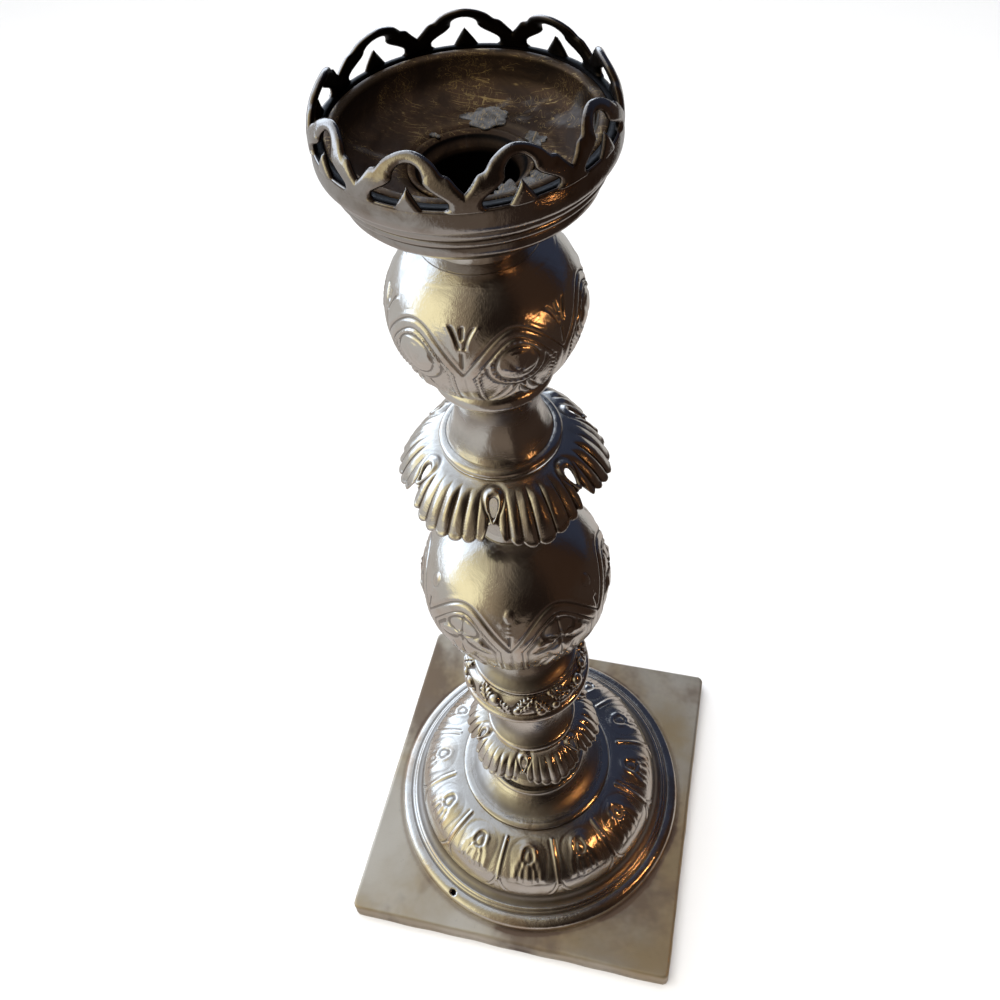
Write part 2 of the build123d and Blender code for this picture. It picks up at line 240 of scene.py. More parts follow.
def pierced(name, surface, keep, phi, along, halfWall, finish, ripple, body="stem", backMark=0.5):
    # A sheet with holes and a free outline.
    # A grid in (angle, length) keeps the faces where keep() is positive; the points of the ragged
    # edge are slid on to keep() = 0 by a few Newton steps; the front and back are the surface moved
    # half the wall either way, and straight walls close every edge between them.
    phi, along = np.broadcast_arrays(phi[None, :], along[:, None])
    phi, along = phi.copy(), along.copy()
    rows, count = phi.shape
    centreOf = lambda grid: (grid[:-1] + grid[1:]) / 2
    pitch = 360.0 / count
    kept = keep(centreOf(phi) + pitch / 2, centreOf(along)) > 0
    # faces that meet only at a corner get another one between them
    for step in range(2):
        beside = np.roll(kept, -1, axis=1)
        rising = kept[:-1] & beside[1:] & ~beside[:-1] & ~kept[1:]
        falling = beside[:-1] & kept[1:] & ~kept[:-1] & ~beside[1:]
        kept[:-1] |= rising | falling
        kept[1:] |= rising | falling
    index = np.arange(rows * count).reshape(rows, count)
    right = np.roll(index, -1, axis=1)
    quads = np.stack([index[:-1], right[:-1], right[1:], index[1:]], axis=2)[kept]
    used = np.zeros(rows * count, int)
    np.add.at(used, quads.ravel(), 1)
    onEdge = ((used > 0) & (used < 4)).reshape(rows, count) & (along > 0.01)  # the line's start stays put
    mmPerDegree, probeDeg, probeMm, farthest = 0.5, 0.05, 0.03, 0.25
    for step in range(5):
        slopeA = keep(phi + probeDeg, along) - keep(phi - probeDeg, along)
        slopeA = slopeA / (2 * probeDeg) / mmPerDegree
        slopeB = (keep(phi, along + probeMm) - keep(phi, along - probeMm)) / (2 * probeMm)
        size = np.maximum(slopeA**2 + slopeB**2, 0.05)
        shift = np.where(onEdge, np.clip(-keep(phi, along) / size, -farthest, farthest), 0)
        phi = phi + shift * slopeA / mmPerDegree
        along = np.clip(along + shift * slopeB, 0, None)
    middle, normal = surface(phi, along)
    half = halfWall(phi, along, keep(phi, along))[..., None]
    front = (middle + normal * half).reshape(-1, 3)
    back = (middle - normal * half).reshape(-1, 3)
    allQuads = twoSided(quads, rows * count)
    points = np.concatenate([front, back])
    hollow = hollowMark(ripple(phi, along), 2, 2, 0.3)
    # the back faces carry backMark; from the painted shade mark up it paints them black as painted shade
    hollow = np.concatenate([hollow.ravel(), np.full(rows * count, backMark)])
    live, packed = np.unique(allQuads, return_inverse=True)
    packed = packed.reshape(allQuads.shape)
    piece = putMesh(name + "_look", points[live], packed, {"hollow": hollow[live]})
    return settle(piece, [name], body, finish)


# materials
class Wire:
    # a socket to reckon with: arithmetic on it adds Math nodes
    def __init__(self, tree, socket=None):
        self.tree = tree
        self.socket = socket

    def make(self, kind, settings=None, inputs=None, out=0):
        # a node of any kind: its settings first, then its sockets, and the wire of one output
        node = self.tree.nodes.new(kind)
        for key, value in (settings or {}).items():
            if key == "stops":
                while len(node.color_ramp.elements) < len(value):
                    node.color_ramp.elements.new(0.5)
                for element, (place, colour) in zip(node.color_ramp.elements, value):
                    element.position = place
                    element.color = (*colour, 1)
            else:
                setattr(node, key, value)
        for key, value in (inputs or {}).items():
            self.feed(node.inputs[key], value)
        return Wire(self.tree, node.outputs[out])

    def feed(self, socket, value):
        # a wire is linked; a colour or a number becomes the socket's own value
        if isinstance(value, Wire):
            self.tree.links.new(value.socket, socket)
        elif isinstance(value, tuple) and len(socket.default_value) == 4:
            socket.default_value = (*value[:3], 1)
        else:
            socket.default_value = value

    def math(self, operation, first, second=0.0, clamp=False):
        settings = {"operation": operation, "use_clamp": clamp}
        return self.make("ShaderNodeMath", settings, {0: first, 1: second})

    def __add__(self, other):
        return self.math("ADD", self, other)

    def __radd__(self, other):
        return self.math("ADD", other, self)

    def __sub__(self, other):
        return self.math("SUBTRACT", self, other)

    def __rsub__(self, other):
        return self.math("SUBTRACT", other, self)

    def __mul__(self, other):
        return self.math("MULTIPLY", self, other)

    def __rmul__(self, other):
        return self.math("MULTIPLY", other, self)

    def __pow__(self, other):
        return self.math("POWER", self, other)

    def limited(self):
        return self.math("ADD", self, 0.0, clamp=True)

    def step(self, low, high):
        # 0 below low and 1 above high, or the other way round where high is the lower
        ends = (low, high, 0.0, 1.0) if low < high else (high, low, 1.0, 0.0)
        inputs = {0: self, 1: ends[0], 2: ends[1], 3: ends[2], 4: ends[3]}
        return self.make("ShaderNodeMapRange", {"interpolation_type": "SMOOTHSTEP"}, inputs)

    def colour(self, first, second):
        # a Mix node between two colours, with this wire as the factor
        return self.make("ShaderNodeMix", {"data_type": "RGBA"}, {0: self, 6: first, 7: second}, out=2)

    def noise(self, place, scale, detail=4.0, rough=0.55, twist=0.0):
        inputs = {"Vector": place, "Scale": scale, "Detail": detail}
        inputs.update({"Roughness": rough, "Distortion": twist})
        return self.make("ShaderNodeTexNoise", {"noise_dimensions": "3D"}, inputs)

    def split(self, vector):
        # the x, y and z of a vector
        node = self.make("ShaderNodeSeparateXYZ", inputs={0: vector}).socket.node
        return [Wire(self.tree, socket) for socket in node.outputs]


def newFinish(name):
    # a material, a wire to build it with, and its shader
    material = bpy.data.materials.new(name)
    material.use_nodes = True
    tree = material.node_tree
    return material, Wire(tree), tree.nodes["Principled BSDF"]


def stretched(wire, place, size):
    # coordinates scaled apart along x, y and z, which draws a pattern out into lines
    inputs = {"Vector": place, "Scale": size}
    return wire.make("ShaderNodeMapping", {"vector_type": "POINT"}, inputs)


def bumped(wire, height, strength, distance, under=None):
    # a normal tilted by the slope of the height, laid over another bump if one is given
    inputs = {"Strength": strength, "Distance": distance, "Height": height}
    if under is not None:
        inputs["Normal"] = under
    return wire.make("ShaderNodeBump", {}, inputs)


silverLook = {
    "bright": (0.76, 0.72, 0.66),
    "warm": (0.54, 0.45, 0.33),
    "tarnish": (0.085, 0.055, 0.04),
    "brass": (0.50, 0.27, 0.12),
    "black": (0.004, 0.003, 0.003),
    "rough": 0.115,
    # how fine each pattern is, in waves to the metre
    "clouds": 45.0,
    "patches": 120.0,
    "specks": 700.0,
    "rubbed": 380.0,
    "hairs": 900.0,
}
cupTone = {"bright": (0.47, 0.435, 0.40), "warm": (0.20, 0.145, 0.10)}  # the cup is duller


def silverFinish(name, warmth=0.25, tarnish=0.55, rough=0.0, look=silverLook):
    # Worn silver plate: bright where it is rubbed, brown in the hollows, brassy where it is thin, black
    # as painted shade where a piece is marked for it.
    material, wire, shader = newFinish(name)
    place = wire.make("ShaderNodeTexCoord", out="Object")
    hollow = wire.make("ShaderNodeAttribute", {"attribute_name": "hollow"}, out="Fac")
    clouds = wire.noise(place, look["clouds"], 5.0, 0.6, 0.3)
    patches = wire.noise(place, look["patches"], 6.0, 0.65, 0.6)
    specks = wire.noise(place, look["specks"], 3.0, 0.6)
    rubbed = wire.noise(stretched(wire, place, (1.0, 1.0, 9.0)), look["rubbed"], 3.0, 0.6)
    hairs = wire.noise(stretched(wire, place, (6.0, 1.0, 1.3)), look["hairs"], 2.0, 0.5)
    sunk = (hollow * 1.5 + (patches - 0.5) * 0.5).step(0.05, 0.75)
    raised = (hollow * -1.6).step(0.1, 0.8)
    warm = (clouds.step(0.42, 0.72) * warmth + patches.step(0.5, 0.75) * warmth * 0.6).limited()
    spotted = specks.step(0.66, 0.8) * patches.step(0.5, 0.66)
    dull = (sunk * tarnish + spotted * tarnish * 0.5).limited()
    brassy = raised * clouds.step(0.5, 0.7) * 0.35
    base = warm.colour(look["bright"], look["warm"])
    base = brassy.limited().colour(base, look["brass"])
    base = dull.colour(base, look["tarnish"])
    # black painted shade where the hollow mark reaches the painted shade mark
    base = hollow.step(*paintedShadeMark).colour(base, look["black"])
    wire.feed(shader.inputs["Base Color"], base)
    shader.inputs["Metallic"].default_value = 1.0
    roughness = look["rough"] + rough + clouds * 0.07 + sunk * 0.22
    wire.feed(shader.inputs["Roughness"], roughness + rubbed.step(0.55, 0.75) * 0.05)
    dimples = bumped(wire, patches, 0.32, 0.0007)
    scratches = bumped(wire, hairs.step(0.52, 0.7) + specks * 0.4, 0.12, 0.00008, dimples)
    wire.feed(shader.inputs["Normal"], scratches)
    return material


satinLook = {
    "plain": (0.47, 0.405, 0.31),
    "yellow": (0.43, 0.32, 0.18),
    "brown": (0.12, 0.082, 0.06),
    "pale": (0.60, 0.55, 0.47),
    "rough": 0.33,
    "clouds": 22.0,
    "stains": 15.0,
    "specks": 420.0,
    "lines": 160.0,
}


def satinFinish(name, look=satinLook):
    # Dull plate on the square base: brown and yellow stains, cloudy wear, fine rubbed lines.
    material, wire, shader = newFinish(name)
    place = wire.make("ShaderNodeTexCoord", out="Object")
    hollow = wire.make("ShaderNodeAttribute", {"attribute_name": "hollow"}, out="Fac")
    clouds = wire.noise(place, look["clouds"], 5.0, 0.55, 0.2)
    stains = wire.noise(place, look["stains"], 5.0, 0.60, 0.1)
    specks = wire.noise(place, look["specks"], 4.0, 0.65)
    lines = wire.noise(stretched(wire, place, (1.0, 14.0, 1.0)), look["lines"], 3.0, 0.6)
    yellow = clouds.step(0.42, 0.64) * 0.9
    pale = clouds.step(0.52, 0.34) * 0.7
    # the hollow mark turns brown: dirt and painted contact shade round the foot, and darker on the lower
    # part of the side
    edge = (hollow * 1.2 + (specks - 0.5) * 0.5).step(0.1, 0.9)
    brown = (stains.step(0.50, 0.62) * 0.8 + edge * 0.55 + specks.step(0.64, 0.76) * 0.2).limited()
    base = yellow.colour(look["plain"], look["yellow"])
    base = pale.colour(base, look["pale"])
    base = brown.colour(base, look["brown"])
    wire.feed(shader.inputs["Base Color"], base)
    wire.feed(shader.inputs["Metallic"], 0.80 - brown * 0.25)
    roughness = look["rough"] + clouds * 0.12 + brown * 0.15
    wire.feed(shader.inputs["Roughness"], roughness - lines * 0.06)
    coarse = bumped(wire, clouds, 0.35, 0.0012)
    fine = bumped(wire, specks + lines * 0.6, 0.25, 0.00012, coarse)
    wire.feed(shader.inputs["Normal"], fine)
    return material


brassLook = {
    "dark": (0.040, 0.026, 0.019),
    "umber": (0.100, 0.058, 0.035),
    "gold": (0.62, 0.44, 0.20),
    "grey": (0.19, 0.18, 0.18),
    "black": (0.003, 0.002, 0.002),
    "clouds": 70.0,
    "films": 38.0,
    "grain": 1300.0,
    "scratches": (330.0, 390.0, 210.0),
}


def tarnishedFinish(name, look=brassLook):
    # Dark brown tarnish inside the cup, with fine golden scratches and grey, waxy films; black as painted
    # shade where a piece is marked for it, as in the socket's bore.
    material, wire, shader = newFinish(name)
    place = wire.make("ShaderNodeTexCoord", out="Object")
    hollow = wire.make("ShaderNodeAttribute", {"attribute_name": "hollow"}, out="Fac")
    clouds = wire.noise(place, look["clouds"], 6.0, 0.62, 0.9)
    films = wire.noise(place, look["films"], 5.0, 0.55, 1.4)
    grain = wire.noise(place, look["grain"], 3.0, 0.7)
    fineA, fineB, fineC = look["scratches"]
    hairA = wire.noise(stretched(wire, place, (0.22, 1.9, 1.0)), fineA, 2.0, 0.5, 0.9)
    hairB = wire.noise(stretched(wire, place, (1.9, 0.2, 1.0)), fineB, 2.0, 0.5, 1.2)
    hairC = wire.noise(stretched(wire, place, (1.0, 0.85, 1.0)), fineC, 1.0, 0.4, 3.5)
    thin = lambda hair: wire.math("ABSOLUTE", hair - 0.5).step(0.014, 0.002)
    hairs = thin(hairA) * clouds.step(0.44, 0.6) + thin(hairB) * clouds.step(0.5, 0.64)
    hairs = (hairs + thin(hairC) * films.step(0.5, 0.62) * 0.8).limited()
    worn = ((hollow * -1.0).step(0.5, 1.0) * 0.03).limited()
    base = clouds.step(0.36, 0.7).colour(look["dark"], look["umber"])
    # black painted shade where the hollow mark reaches the painted shade mark
    base = hollow.step(*paintedShadeMark).colour(base, look["black"])
    base = (films.step(0.58, 0.7) * 0.55).colour(base, look["grey"])
    hairs = hairs * hollow.step(1.6, 0.6)
    base = (worn + hairs * 0.85).limited().colour(base, look["gold"])
    wire.feed(shader.inputs["Base Color"], base)
    wire.feed(shader.inputs["Metallic"], 0.82 + hairs * 0.15)
    wire.feed(shader.inputs["Roughness"], 0.34 + clouds * 0.18 + films * 0.12 - hairs * 0.12)
    rough = bumped(wire, clouds + grain * 0.25, 0.4, 0.0004)
    wire.feed(shader.inputs["Normal"], bumped(wire, 1.0 - hairs, 0.3, 0.00008, rough))
    return material


steelLook = {"bright": (0.42, 0.41, 0.40), "rust": (0.17, 0.085, 0.045)}


def steelFinish(name, look=steelLook):
    # Plain turned steel of the rod, nuts and washers, with a little rust.
    material, wire, shader = newFinish(name)
    place = wire.make("ShaderNodeTexCoord", out="Object")
    clouds = wire.noise(place, 220.0, 5.0, 0.65, 0.5)
    rings = wire.noise(stretched(wire, place, (1.0, 1.0, 30.0)), 240.0, 2.0)
    rust = clouds.step(0.52, 0.68)
    wire.feed(shader.inputs["Base Color"], rust.colour(look["bright"], look["rust"]))
    wire.feed(shader.inputs["Metallic"], 1.0 - rust * 0.6)
    wire.feed(shader.inputs["Roughness"], 0.32 + rust * 0.35 + rings * 0.1)
    wire.feed(shader.inputs["Normal"], bumped(wire, rings + clouds, 0.3, 0.0001))
    return material


woodLook = {"light": (0.30, 0.18, 0.095), "dark": (0.11, 0.06, 0.032)}


def woodFinish(name, look=woodLook):
    # Unvarnished board under the plate: long grain, pores and old stain.
    material, wire, shader = newFinish(name)
    place = wire.make("ShaderNodeTexCoord", out="Object")
    grain = wire.noise(stretched(wire, place, (0.6, 9.0, 4.0)), 60.0, 6.0, 0.65, 0.8)
    pores = wire.noise(stretched(wire, place, (1.0, 22.0, 8.0)), 190.0, 3.0, 0.6)
    dark = (grain.step(0.38, 0.66) * 0.8 + pores.step(0.58, 0.7) * 0.5).limited()
    wire.feed(shader.inputs["Base Color"], dark.colour(look["light"], look["dark"]))
    wire.feed(shader.inputs["Roughness"], 0.62 + dark * 0.2)
    wire.feed(shader.inputs["Normal"], bumped(wire, grain + pores, 0.4, 0.0003))
    return material


# base and foot
plateShape = {
    "side": 125.0,
    "top": 7.5,
    "corner": 2.2,
    "edge": 1.2,
    "sheet": 1.2,
    "hole": 20.0,
    "footR": 58.6,  # dirt and painted contact shade gather here, round the foot
    "perSide": 170,  # points along a side, then rows over the top, down the edge, and back inside
    "rows": (78, 9, 3, 8),
}


def squareReach(phi, side, corner):
    # distance from the axis to a square with round corners, in the direction phi
    half = side / 2
    a = np.radians((phi + 45) % 90 - 45)
    flat = half / np.cos(a)
    centre = (half - corner) * math.sqrt(2)
    b = np.abs(np.radians(45) - np.abs(a))
    curve = centre * np.cos(b) + np.sqrt(np.maximum(corner**2 - (centre * np.sin(b)) ** 2, 0))
    onFlat = half * np.tan(np.abs(a)) <= half - corner
    return np.where(onFlat, flat, curve)


def basePlate(finish, shape=plateShape):
    # Folded square plate: rows of rounded squares run out over the top, down the edge and back inside.
    # Point = direction times (reach - inset), lowered at the edge by a small radius, with slow swells on
    # top and a rippled lower edge.
    even = np.linspace(0, 90, shape["perSide"], endpoint=False)
    close = even + 7.5 * np.sin(np.radians(4 * even - 180))  # points drawn together at the corners
    phi = np.concatenate([close + 90 * side for side in range(4)])[None, :]
    reach = squareReach(phi, shape["side"], shape["corner"])
    top, edge, sheet = shape["top"], shape["edge"], shape["sheet"]
    topRows, edgeRows, insideRows, backRows = shape["rows"]
    share = np.linspace(0, 1, topRows) ** 0.8
    bend = np.radians(np.linspace(0, 90, 6))
    inset = np.r_[edge * (1 - np.sin(bend)), np.zeros(edgeRows)]
    z = np.r_[top - edge + edge * np.cos(bend), np.linspace(top - edge - 0.7, 0, edgeRows)]
    flatR = shape["hole"] + (reach - edge - shape["hole"]) * share[:, None]
    outerR = np.concatenate([flatR, reach - inset[1:, None]])
    insideR = np.repeat(reach - sheet, insideRows, axis=0)
    backShare = np.linspace(1, 0, backRows)[1:, None]
    backR = shape["hole"] + (reach - sheet - shape["hole"]) * backShare
    r = np.concatenate([outerR, insideR, backR])
    upInside = np.linspace(0, top - sheet, insideRows)
    zLine = np.r_[np.full(topRows, top), z[1:], upInside, np.full(backRows - 1, top - sheet)]
    zAll = np.repeat(zLine[:, None], phi.shape[1], axis=1)
    turn = np.radians(phi)
    x, y = r * np.cos(turn), r * np.sin(turn)
    rows = len(outerR)
    swell = 0.10 * np.sin(x / 13 + 1.0) * np.sin(y / 17 + 0.4)
    swell = swell + 0.06 * np.sin(x / 5.2) * np.sin(y / 6.1 + 2)
    onTop = np.zeros_like(r)
    onTop[:rows] = np.clip((reach - outerR) / 8, 0, 1)
    onTop[: len(share)] += 0.25
    zAll = zAll + swell * onTop * 1.2 - 0.06 * (onTop > 0)
    side = np.zeros_like(r)
    side[len(share):rows] = 1
    ripple = 0.22 * np.sin(x / 4.1 + y / 3.7) * np.sin(x / 9.3 - y / 8.1 + 1) - 0.12
    r = r + side * ripple * np.clip((top - zAll) / 4, 0, 1)
    points = np.stack([r * np.cos(turn), r * np.sin(turn), zAll], axis=2)
    hollow = np.zeros_like(r)
    footGap = np.abs(r[:rows] - shape["footR"])
    # darker in a ring round the foot's edge, dirt and painted contact shade, and darker on the lower part
    # of the side
    hollow[:rows] = 0.9 * np.exp(-footGap / 0.9) + 0.35 * side[:rows] * (zAll[:rows] < 3.2)
    index = np.arange(r.size).reshape(r.shape)
    right = np.roll(index, -1, axis=1)
    below, belowRight = np.roll(index, -1, axis=0), np.roll(right, -1, axis=0)
    quads = np.stack([right, index, below, belowRight], axis=2).reshape(-1, 4)
    piece = putMesh("base_plate_look", points.reshape(-1, 3), quads, {"hollow": hollow})
    return settle(piece, ["base_plate"], "stem", finish)


tongueShape = {"count": 12, "middle": -82.5, "end": 37.6, "roundR": 7.2, "swell": 0.26, "rib": 0.32}


def tongueRelief(phi, along, r, z, shape=tongueShape):
    # Twelve tongues with an eye and petals, between spear ribs whose outer ends fork.
    pitch = 360 / shape["count"]
    t = folded(phi, shape["middle"], pitch)
    x = np.radians(t) * r
    side = np.abs(x)
    fromRib = np.radians(pitch / 2) * r - side
    # tongue: inside its U outline, with a round inner end and a scalloped outer edge
    roundR = shape["roundR"]
    lobe = roundR - np.hypot(x, np.maximum(along - (shape["end"] - roundR), 0))
    scallop = along - 21.4 - 1.3 * (np.abs(t) / 15) ** 2 + 0.55 * np.abs(np.cos(np.radians(t * 18)))
    inside = np.minimum(np.minimum(lobe, fromRib - 0.9), scallop)
    body = ease(inside, -0.6, 3.2) * shape["swell"] - 0.05 * hump(inside + 0.1, 0.5)
    body = body * between(along, 18.5, 38.2, 0.8)
    # eye with its ring, leaves that curl outwards from it, and a drop between them
    eye = np.hypot(x * 1.05, (along - 31.6) * 0.78)
    deep = 0.20 * hump(eye - 2.9, 0.75) - 0.16 * hump(eye - 1.9, 0.5) + 0.16 * hump(eye, 1.2)
    curl = 2.2 + 3.1 * np.sin(np.clip((33.0 - along) / 10.5, 0, 1) * math.pi * 0.5)
    leaves = 0.24 * hump(side - curl, 0.95) - 0.17 * hump(side - curl + 1.6, 0.55)
    leaves = leaves * between(along, 23.0, 33.0, 1.6)
    second = 0.9 + 2.0 * np.sin(np.clip((31.0 - along) / 8.0, 0, 1) * math.pi * 0.5)
    tuft = 0.22 * hump(side - second, 0.6) * between(along, 23.0, 28.6, 1.6)
    drop = 0.26 * hump(x, 0.7) * between(along, 22.8, 28.0, 1.6)
    tips = -0.17 * hump(side - 1.7, 0.4) * between(along, 21.6, 26.5, 0.9)
    tips = tips - 0.17 * hump(side - 4.3, 0.45) * between(along, 22.2, 27.5, 1.0)
    # spear rib and its fork
    width = 0.50 + 0.035 * np.clip(36 - along, 0, 20)
    rib = shape["rib"] * hump(fromRib, width) * between(along, 20.4, 36.8, 0.9)
    rib = rib - 0.16 * hump(fromRib - 1.05, 0.38) * between(along, 20.6, 36.4, 0.8)
    spread = 0.2 + 0.30 * np.clip(21.4 - along, 0, 9) ** 1.4
    fork = 0.26 * hump(fromRib - spread, 0.42) * between(along, 16.6, 20.8, 1.0)
    fork = fork - 0.20 * hump(fromRib - spread - 0.85, 0.4) * between(along, 16.8, 20.8, 1.0)
    inner = (deep + 0.8 * (leaves + tuft + drop + tips)) * ease(inside, -0.1, 0.9)
    return body + inner + rib + fork


footShape = {
    # rim, rolled edge, two steps, cove and the band of tongues, each with its spacing
    "lines": [
        (0.3, [(57.5, 7.5), (57.8, 8.7)]),
        (0.3, [(57.8, 8.7), (57.55, 10.3), (56.4, 11.6), (54.8, 12.15), (53.4, 12.2)]),
        (0.22, [(53.4, 12.2), (53.1, 12.5), (52.6, 12.85), (52.3, 12.9)]),
        (0.22, [(52.3, 12.9), (52.0, 13.2), (51.5, 13.5), (51.2, 13.5)]),
        (0.35, [(51.2, 13.5), (49.6, 14.2), (48.7, 15.4), (48.3, 17.5)]),
        (0.30, [(48.3, 17.5), (47.0, 21.6), (44.2, 25.6), (40.6, 28.6), (36.0, 30.8), (32.2, 31.9),
                (29.6, 32.2)]),
    ],
    "wall": 1.2,
    "vent": (56.0, 11.6),  # radius and height of the vent hole, then its direction and its own radius
    "ventAngle": -115.0,
    "ventR": 1.2,
}


def footDome(finish, shape=footShape):
    # the foot's lines turned about the axis, with tongues on its shoulder and a pit for the vent hole,
    # painted black as the hole's painted shade
    outer = chained(*shape["lines"])

    def fromVent(phi, r, z):
        ventX = np.radians(folded(phi, shape["ventAngle"], 360)) * r
        return np.hypot(ventX, np.hypot(r - shape["vent"][0], z - shape["vent"][1]))

    def relief(phi, along, r, z):
        gap = fromVent(phi, r, z)
        vent = -1.1 * (1 - ease(gap, shape["ventR"] - 0.4, shape["ventR"] + 0.2))
        vent = vent + 0.02 * hump(gap - 1.8, 0.4)
        return tongueRelief(phi, along - 0.6, r, z) + vent

    # the vent's pit is painted black: painted shade for the open hole
    def paintedShade(phi, along, r, z):
        return 1 - ease(fromVent(phi, r, z), shape["ventR"] - 0.1, shape["ventR"] + 0.15)

    inner = innerWall(outer, shape["wall"])
    settings = {"count": 560, "dent": 0.05, "tarnishAndShadeEnds": 0.9}
    return turned("foot_dome", outer, inner, finish, relief, paintedShade=paintedShade, **settings)


# plain turned pieces of the stem
stemRings = {
    # radius of the ring's outside, height of its middle, its half height and its inner radius
    "riser_ring": (19.8, 40.6, 1.4, 14.0),
    "knop_ring": (23.0, 104.7, 1.9, 19.0),
    "spool_ring": (18.0, 231.8, 1.7, 12.8),
}
stemShells = {
    # a bead that the line starts with, as its centre, radius, angles and spacing, or None; then the
    # points, their spacing, the wall, and how the piece is turned
    "bell_riser": (None, [(29.5, 32.2), (29.45, 32.9), (28.6, 33.35), (26.6, 33.75), (24.4, 34.4),
                          (22.2, 35.7), (20.6, 37.2), (19.6, 38.4), (19.0, 39.2)], 0.35, 1.2,
                   {"count": 300, "dent": 0.05, "tarnishAndShadeEnds": 1.0}),
    "riser_neck": (None, [(17.0, 42.0), (14.0, 44.8), (12.4, 49.0), (11.4, 58.0), (12.0, 64.5),
                          (12.6, 68.6)], fineStep, 1.2, {"count": 220}),
    "lower_spool": (((14.9, 71.0), 1.95, -55, 62, 0.25), [(13.7, 75.6), (11.4, 81.4), (9.4, 91.4),
                                                          (10.0, 100.3)], fineStep, 1.2,
                    {"count": 260, "dent": 0.04, "tarnishAndShadeEnds": 0.9}),
    "neck_dish": (((17.6, 115.4), 0.95, -75, 80, 0.2), [(16.0, 117.7), (13.6, 121.9), (11.9, 128.4),
                                                        (12.4, 133.6)], fineStep, 1.0,
                  {"count": 260, "dent": 0.03}),
    "collar_neck": (None, [(10.4, 191.2), (8.8, 198.2), (9.0, 208.0), (10.2, 217.3), (12.0, 224.5),
                           (14.6, 229.3)], fineStep, 1.0, {"count": 220}),
    "upper_spool": (None, [(15.6, 233.5), (14.6, 235.4), (12.8, 240.5), (11.6, 247.5), (12.8, 254.0)],
                    fineStep, 1.0, {"count": 300, "dent": 0.16, "swellSize": 5.0}),
    "seat_ring": (None, [(12.8, 254.0), (15.8, 255.8), (16.8, 257.6), (16.5, 259.6), (15.4, 261.05)],
                  0.3, 1.0, {"count": 280, "dent": 0.03, "tarnishAndShadeEnds": 0.8}),
}


def stemRing(name, finish):
    # a half-round moulding with a flat back
    r, z, size, inside = stemRings[name]
    low, high = z - size, z + size
    flat = smoothLine([(r - size - 0.2, low), (r - size, low)])
    front = joined(flat, roundLine((r - size, z), size, -90, 90, 0.25))
    back = np.array([(r - size - 0.4, high), (inside, high), (inside, low)])
    turned(name, front, back, finish, count=260, dent=0.03, tarnishAndShadeEnds=0.8)


def stemShell(name, finish):
    # a line turned about the axis; the inside is the same line moved in by the wall
    bead, points, step, wall, settings = stemShells[name]
    if bead is None:
        outer = smoothLine(points, step)
    else:
        start = roundLine(*bead)
        outer = joined(start, smoothLine([start[-1], *points], step))
    turned(name, outer, innerWall(outer, wall), finish, **settings)


def plainTurned(finish):
    # the riser, the rings, and then the rest of the stem from the bottom up
    riser, *others = stemShells
    stemShell(riser, finish)
    for name in stemRings:
        stemRing(name, finish)
    for name in others:
        stemShell(name, finish)


# knop with its garland
knopShape = {
    "seed": 41,
    "fruits": 16,
    "leaves": 18,
    # underside, wall and shelf, then the bulging body with the garland
    "plain": [
        (0.8, [(10.0, 100.3), (18.9, 102.8)]),
        (0.8, [(18.9, 102.8), (18.9, 106.6)]),
        (0.5, [(18.9, 106.6), (20.9, 106.6)]),
    ],
    "body": (0.16, [(20.9, 106.6), (21.9, 108.2), (21.6, 110.6), (20.4, 112.9), (18.4, 114.4)]),
    "wall": 0.8,
}


def garlandRelief(phi, along, r, z, shape=knopShape):
    # A garland: big leaves with midribs laid over each other, and round fruits that stand out of them.
    random = np.random.default_rng(shape["seed"])
    high = along.max()
    out = 0.25 * np.sin(np.radians(phi * 8)) * np.sin(along * 0.9) + 0.25
    for leaf in range(shape["leaves"]):
        angle = leaf * 360 / shape["leaves"] + random.uniform(-4, 4)
        middle = high * (0.32 if leaf % 2 else 0.66) + random.uniform(-0.6, 0.6)
        tilt = random.choice([-1, 1]) * random.uniform(0.3, 1.1)
        x = np.radians(folded(phi, angle, 360)) * r
        y = along - middle
        u = x * math.cos(tilt) + y * math.sin(tilt)
        v = -x * math.sin(tilt) + y * math.cos(tilt)
        longAxis, shortAxis = random.uniform(4.2, 5.6), random.uniform(2.2, 2.8)
        edge = shortAxis * np.clip(1 - (u / longAxis) ** 2, 0, 1) * (1 + 0.16 * np.cos(u * 4.5))
        veins = 0.95 + 0.14 * np.cos(u * 3.6 + np.abs(v) * 2.4)
        form = ease(edge - np.abs(v), -0.1, 0.9) * veins
        form = form - 0.4 * hump(v, 0.28) * ease(edge, 0.2, 1.0)
        out = np.maximum(out, form * random.uniform(0.85, 1.2))
    for fruit in range(shape["fruits"]):
        angle = fruit * 360 / shape["fruits"] + random.uniform(-8, 8)
        middle = random.uniform(1.8, high - 1.8)
        size = random.uniform(1.3, 2.3)
        d = np.hypot(np.radians(folded(phi, angle, 360)) * r, along - middle)
        ball = np.sqrt(np.clip(1 - (d / size) ** 2, 0, 1)) * size * 0.65
        ball = ball + 0.55 * ease(size + 0.4 - d, 0, 0.5)
        out = np.maximum(out, ball)
    return (out - 0.45) * between(along, 0.7, high - 0.3, 0.7)


def knop(finish, shape=knopShape):
    # plain lines under the knop, then its body, which carries the garland
    outer = chained(*shape["plain"], shape["body"])
    offset = np.hypot(*np.diff(chained(*shape["plain"]), axis=0).T).sum()

    def relief(phi, along, r, z):
        return garlandRelief(phi, np.clip(along - offset, 0, None), r, z) * (along > offset)

    inner = innerWall(outer, shape["wall"])
    return turned("knop_cup", outer, inner, finish, relief, count=620, dent=0.0, tarnishAndShadeEnds=0.6)


# globes
upperPanels = {
    "radius": 26.0, "centre": 282.0, "seats": (15.4, 15.2),  # radii of its lower and upper openings
    "panel": -58.0, "vee": -2.0, "rise": 12.6,
}
lowerPanels = {
    "radius": 31.0, "centre": 162.0, "seats": (12.4, 10.4),
    "panel": -49.5, "vee": 2.0, "rise": 14.8,
}


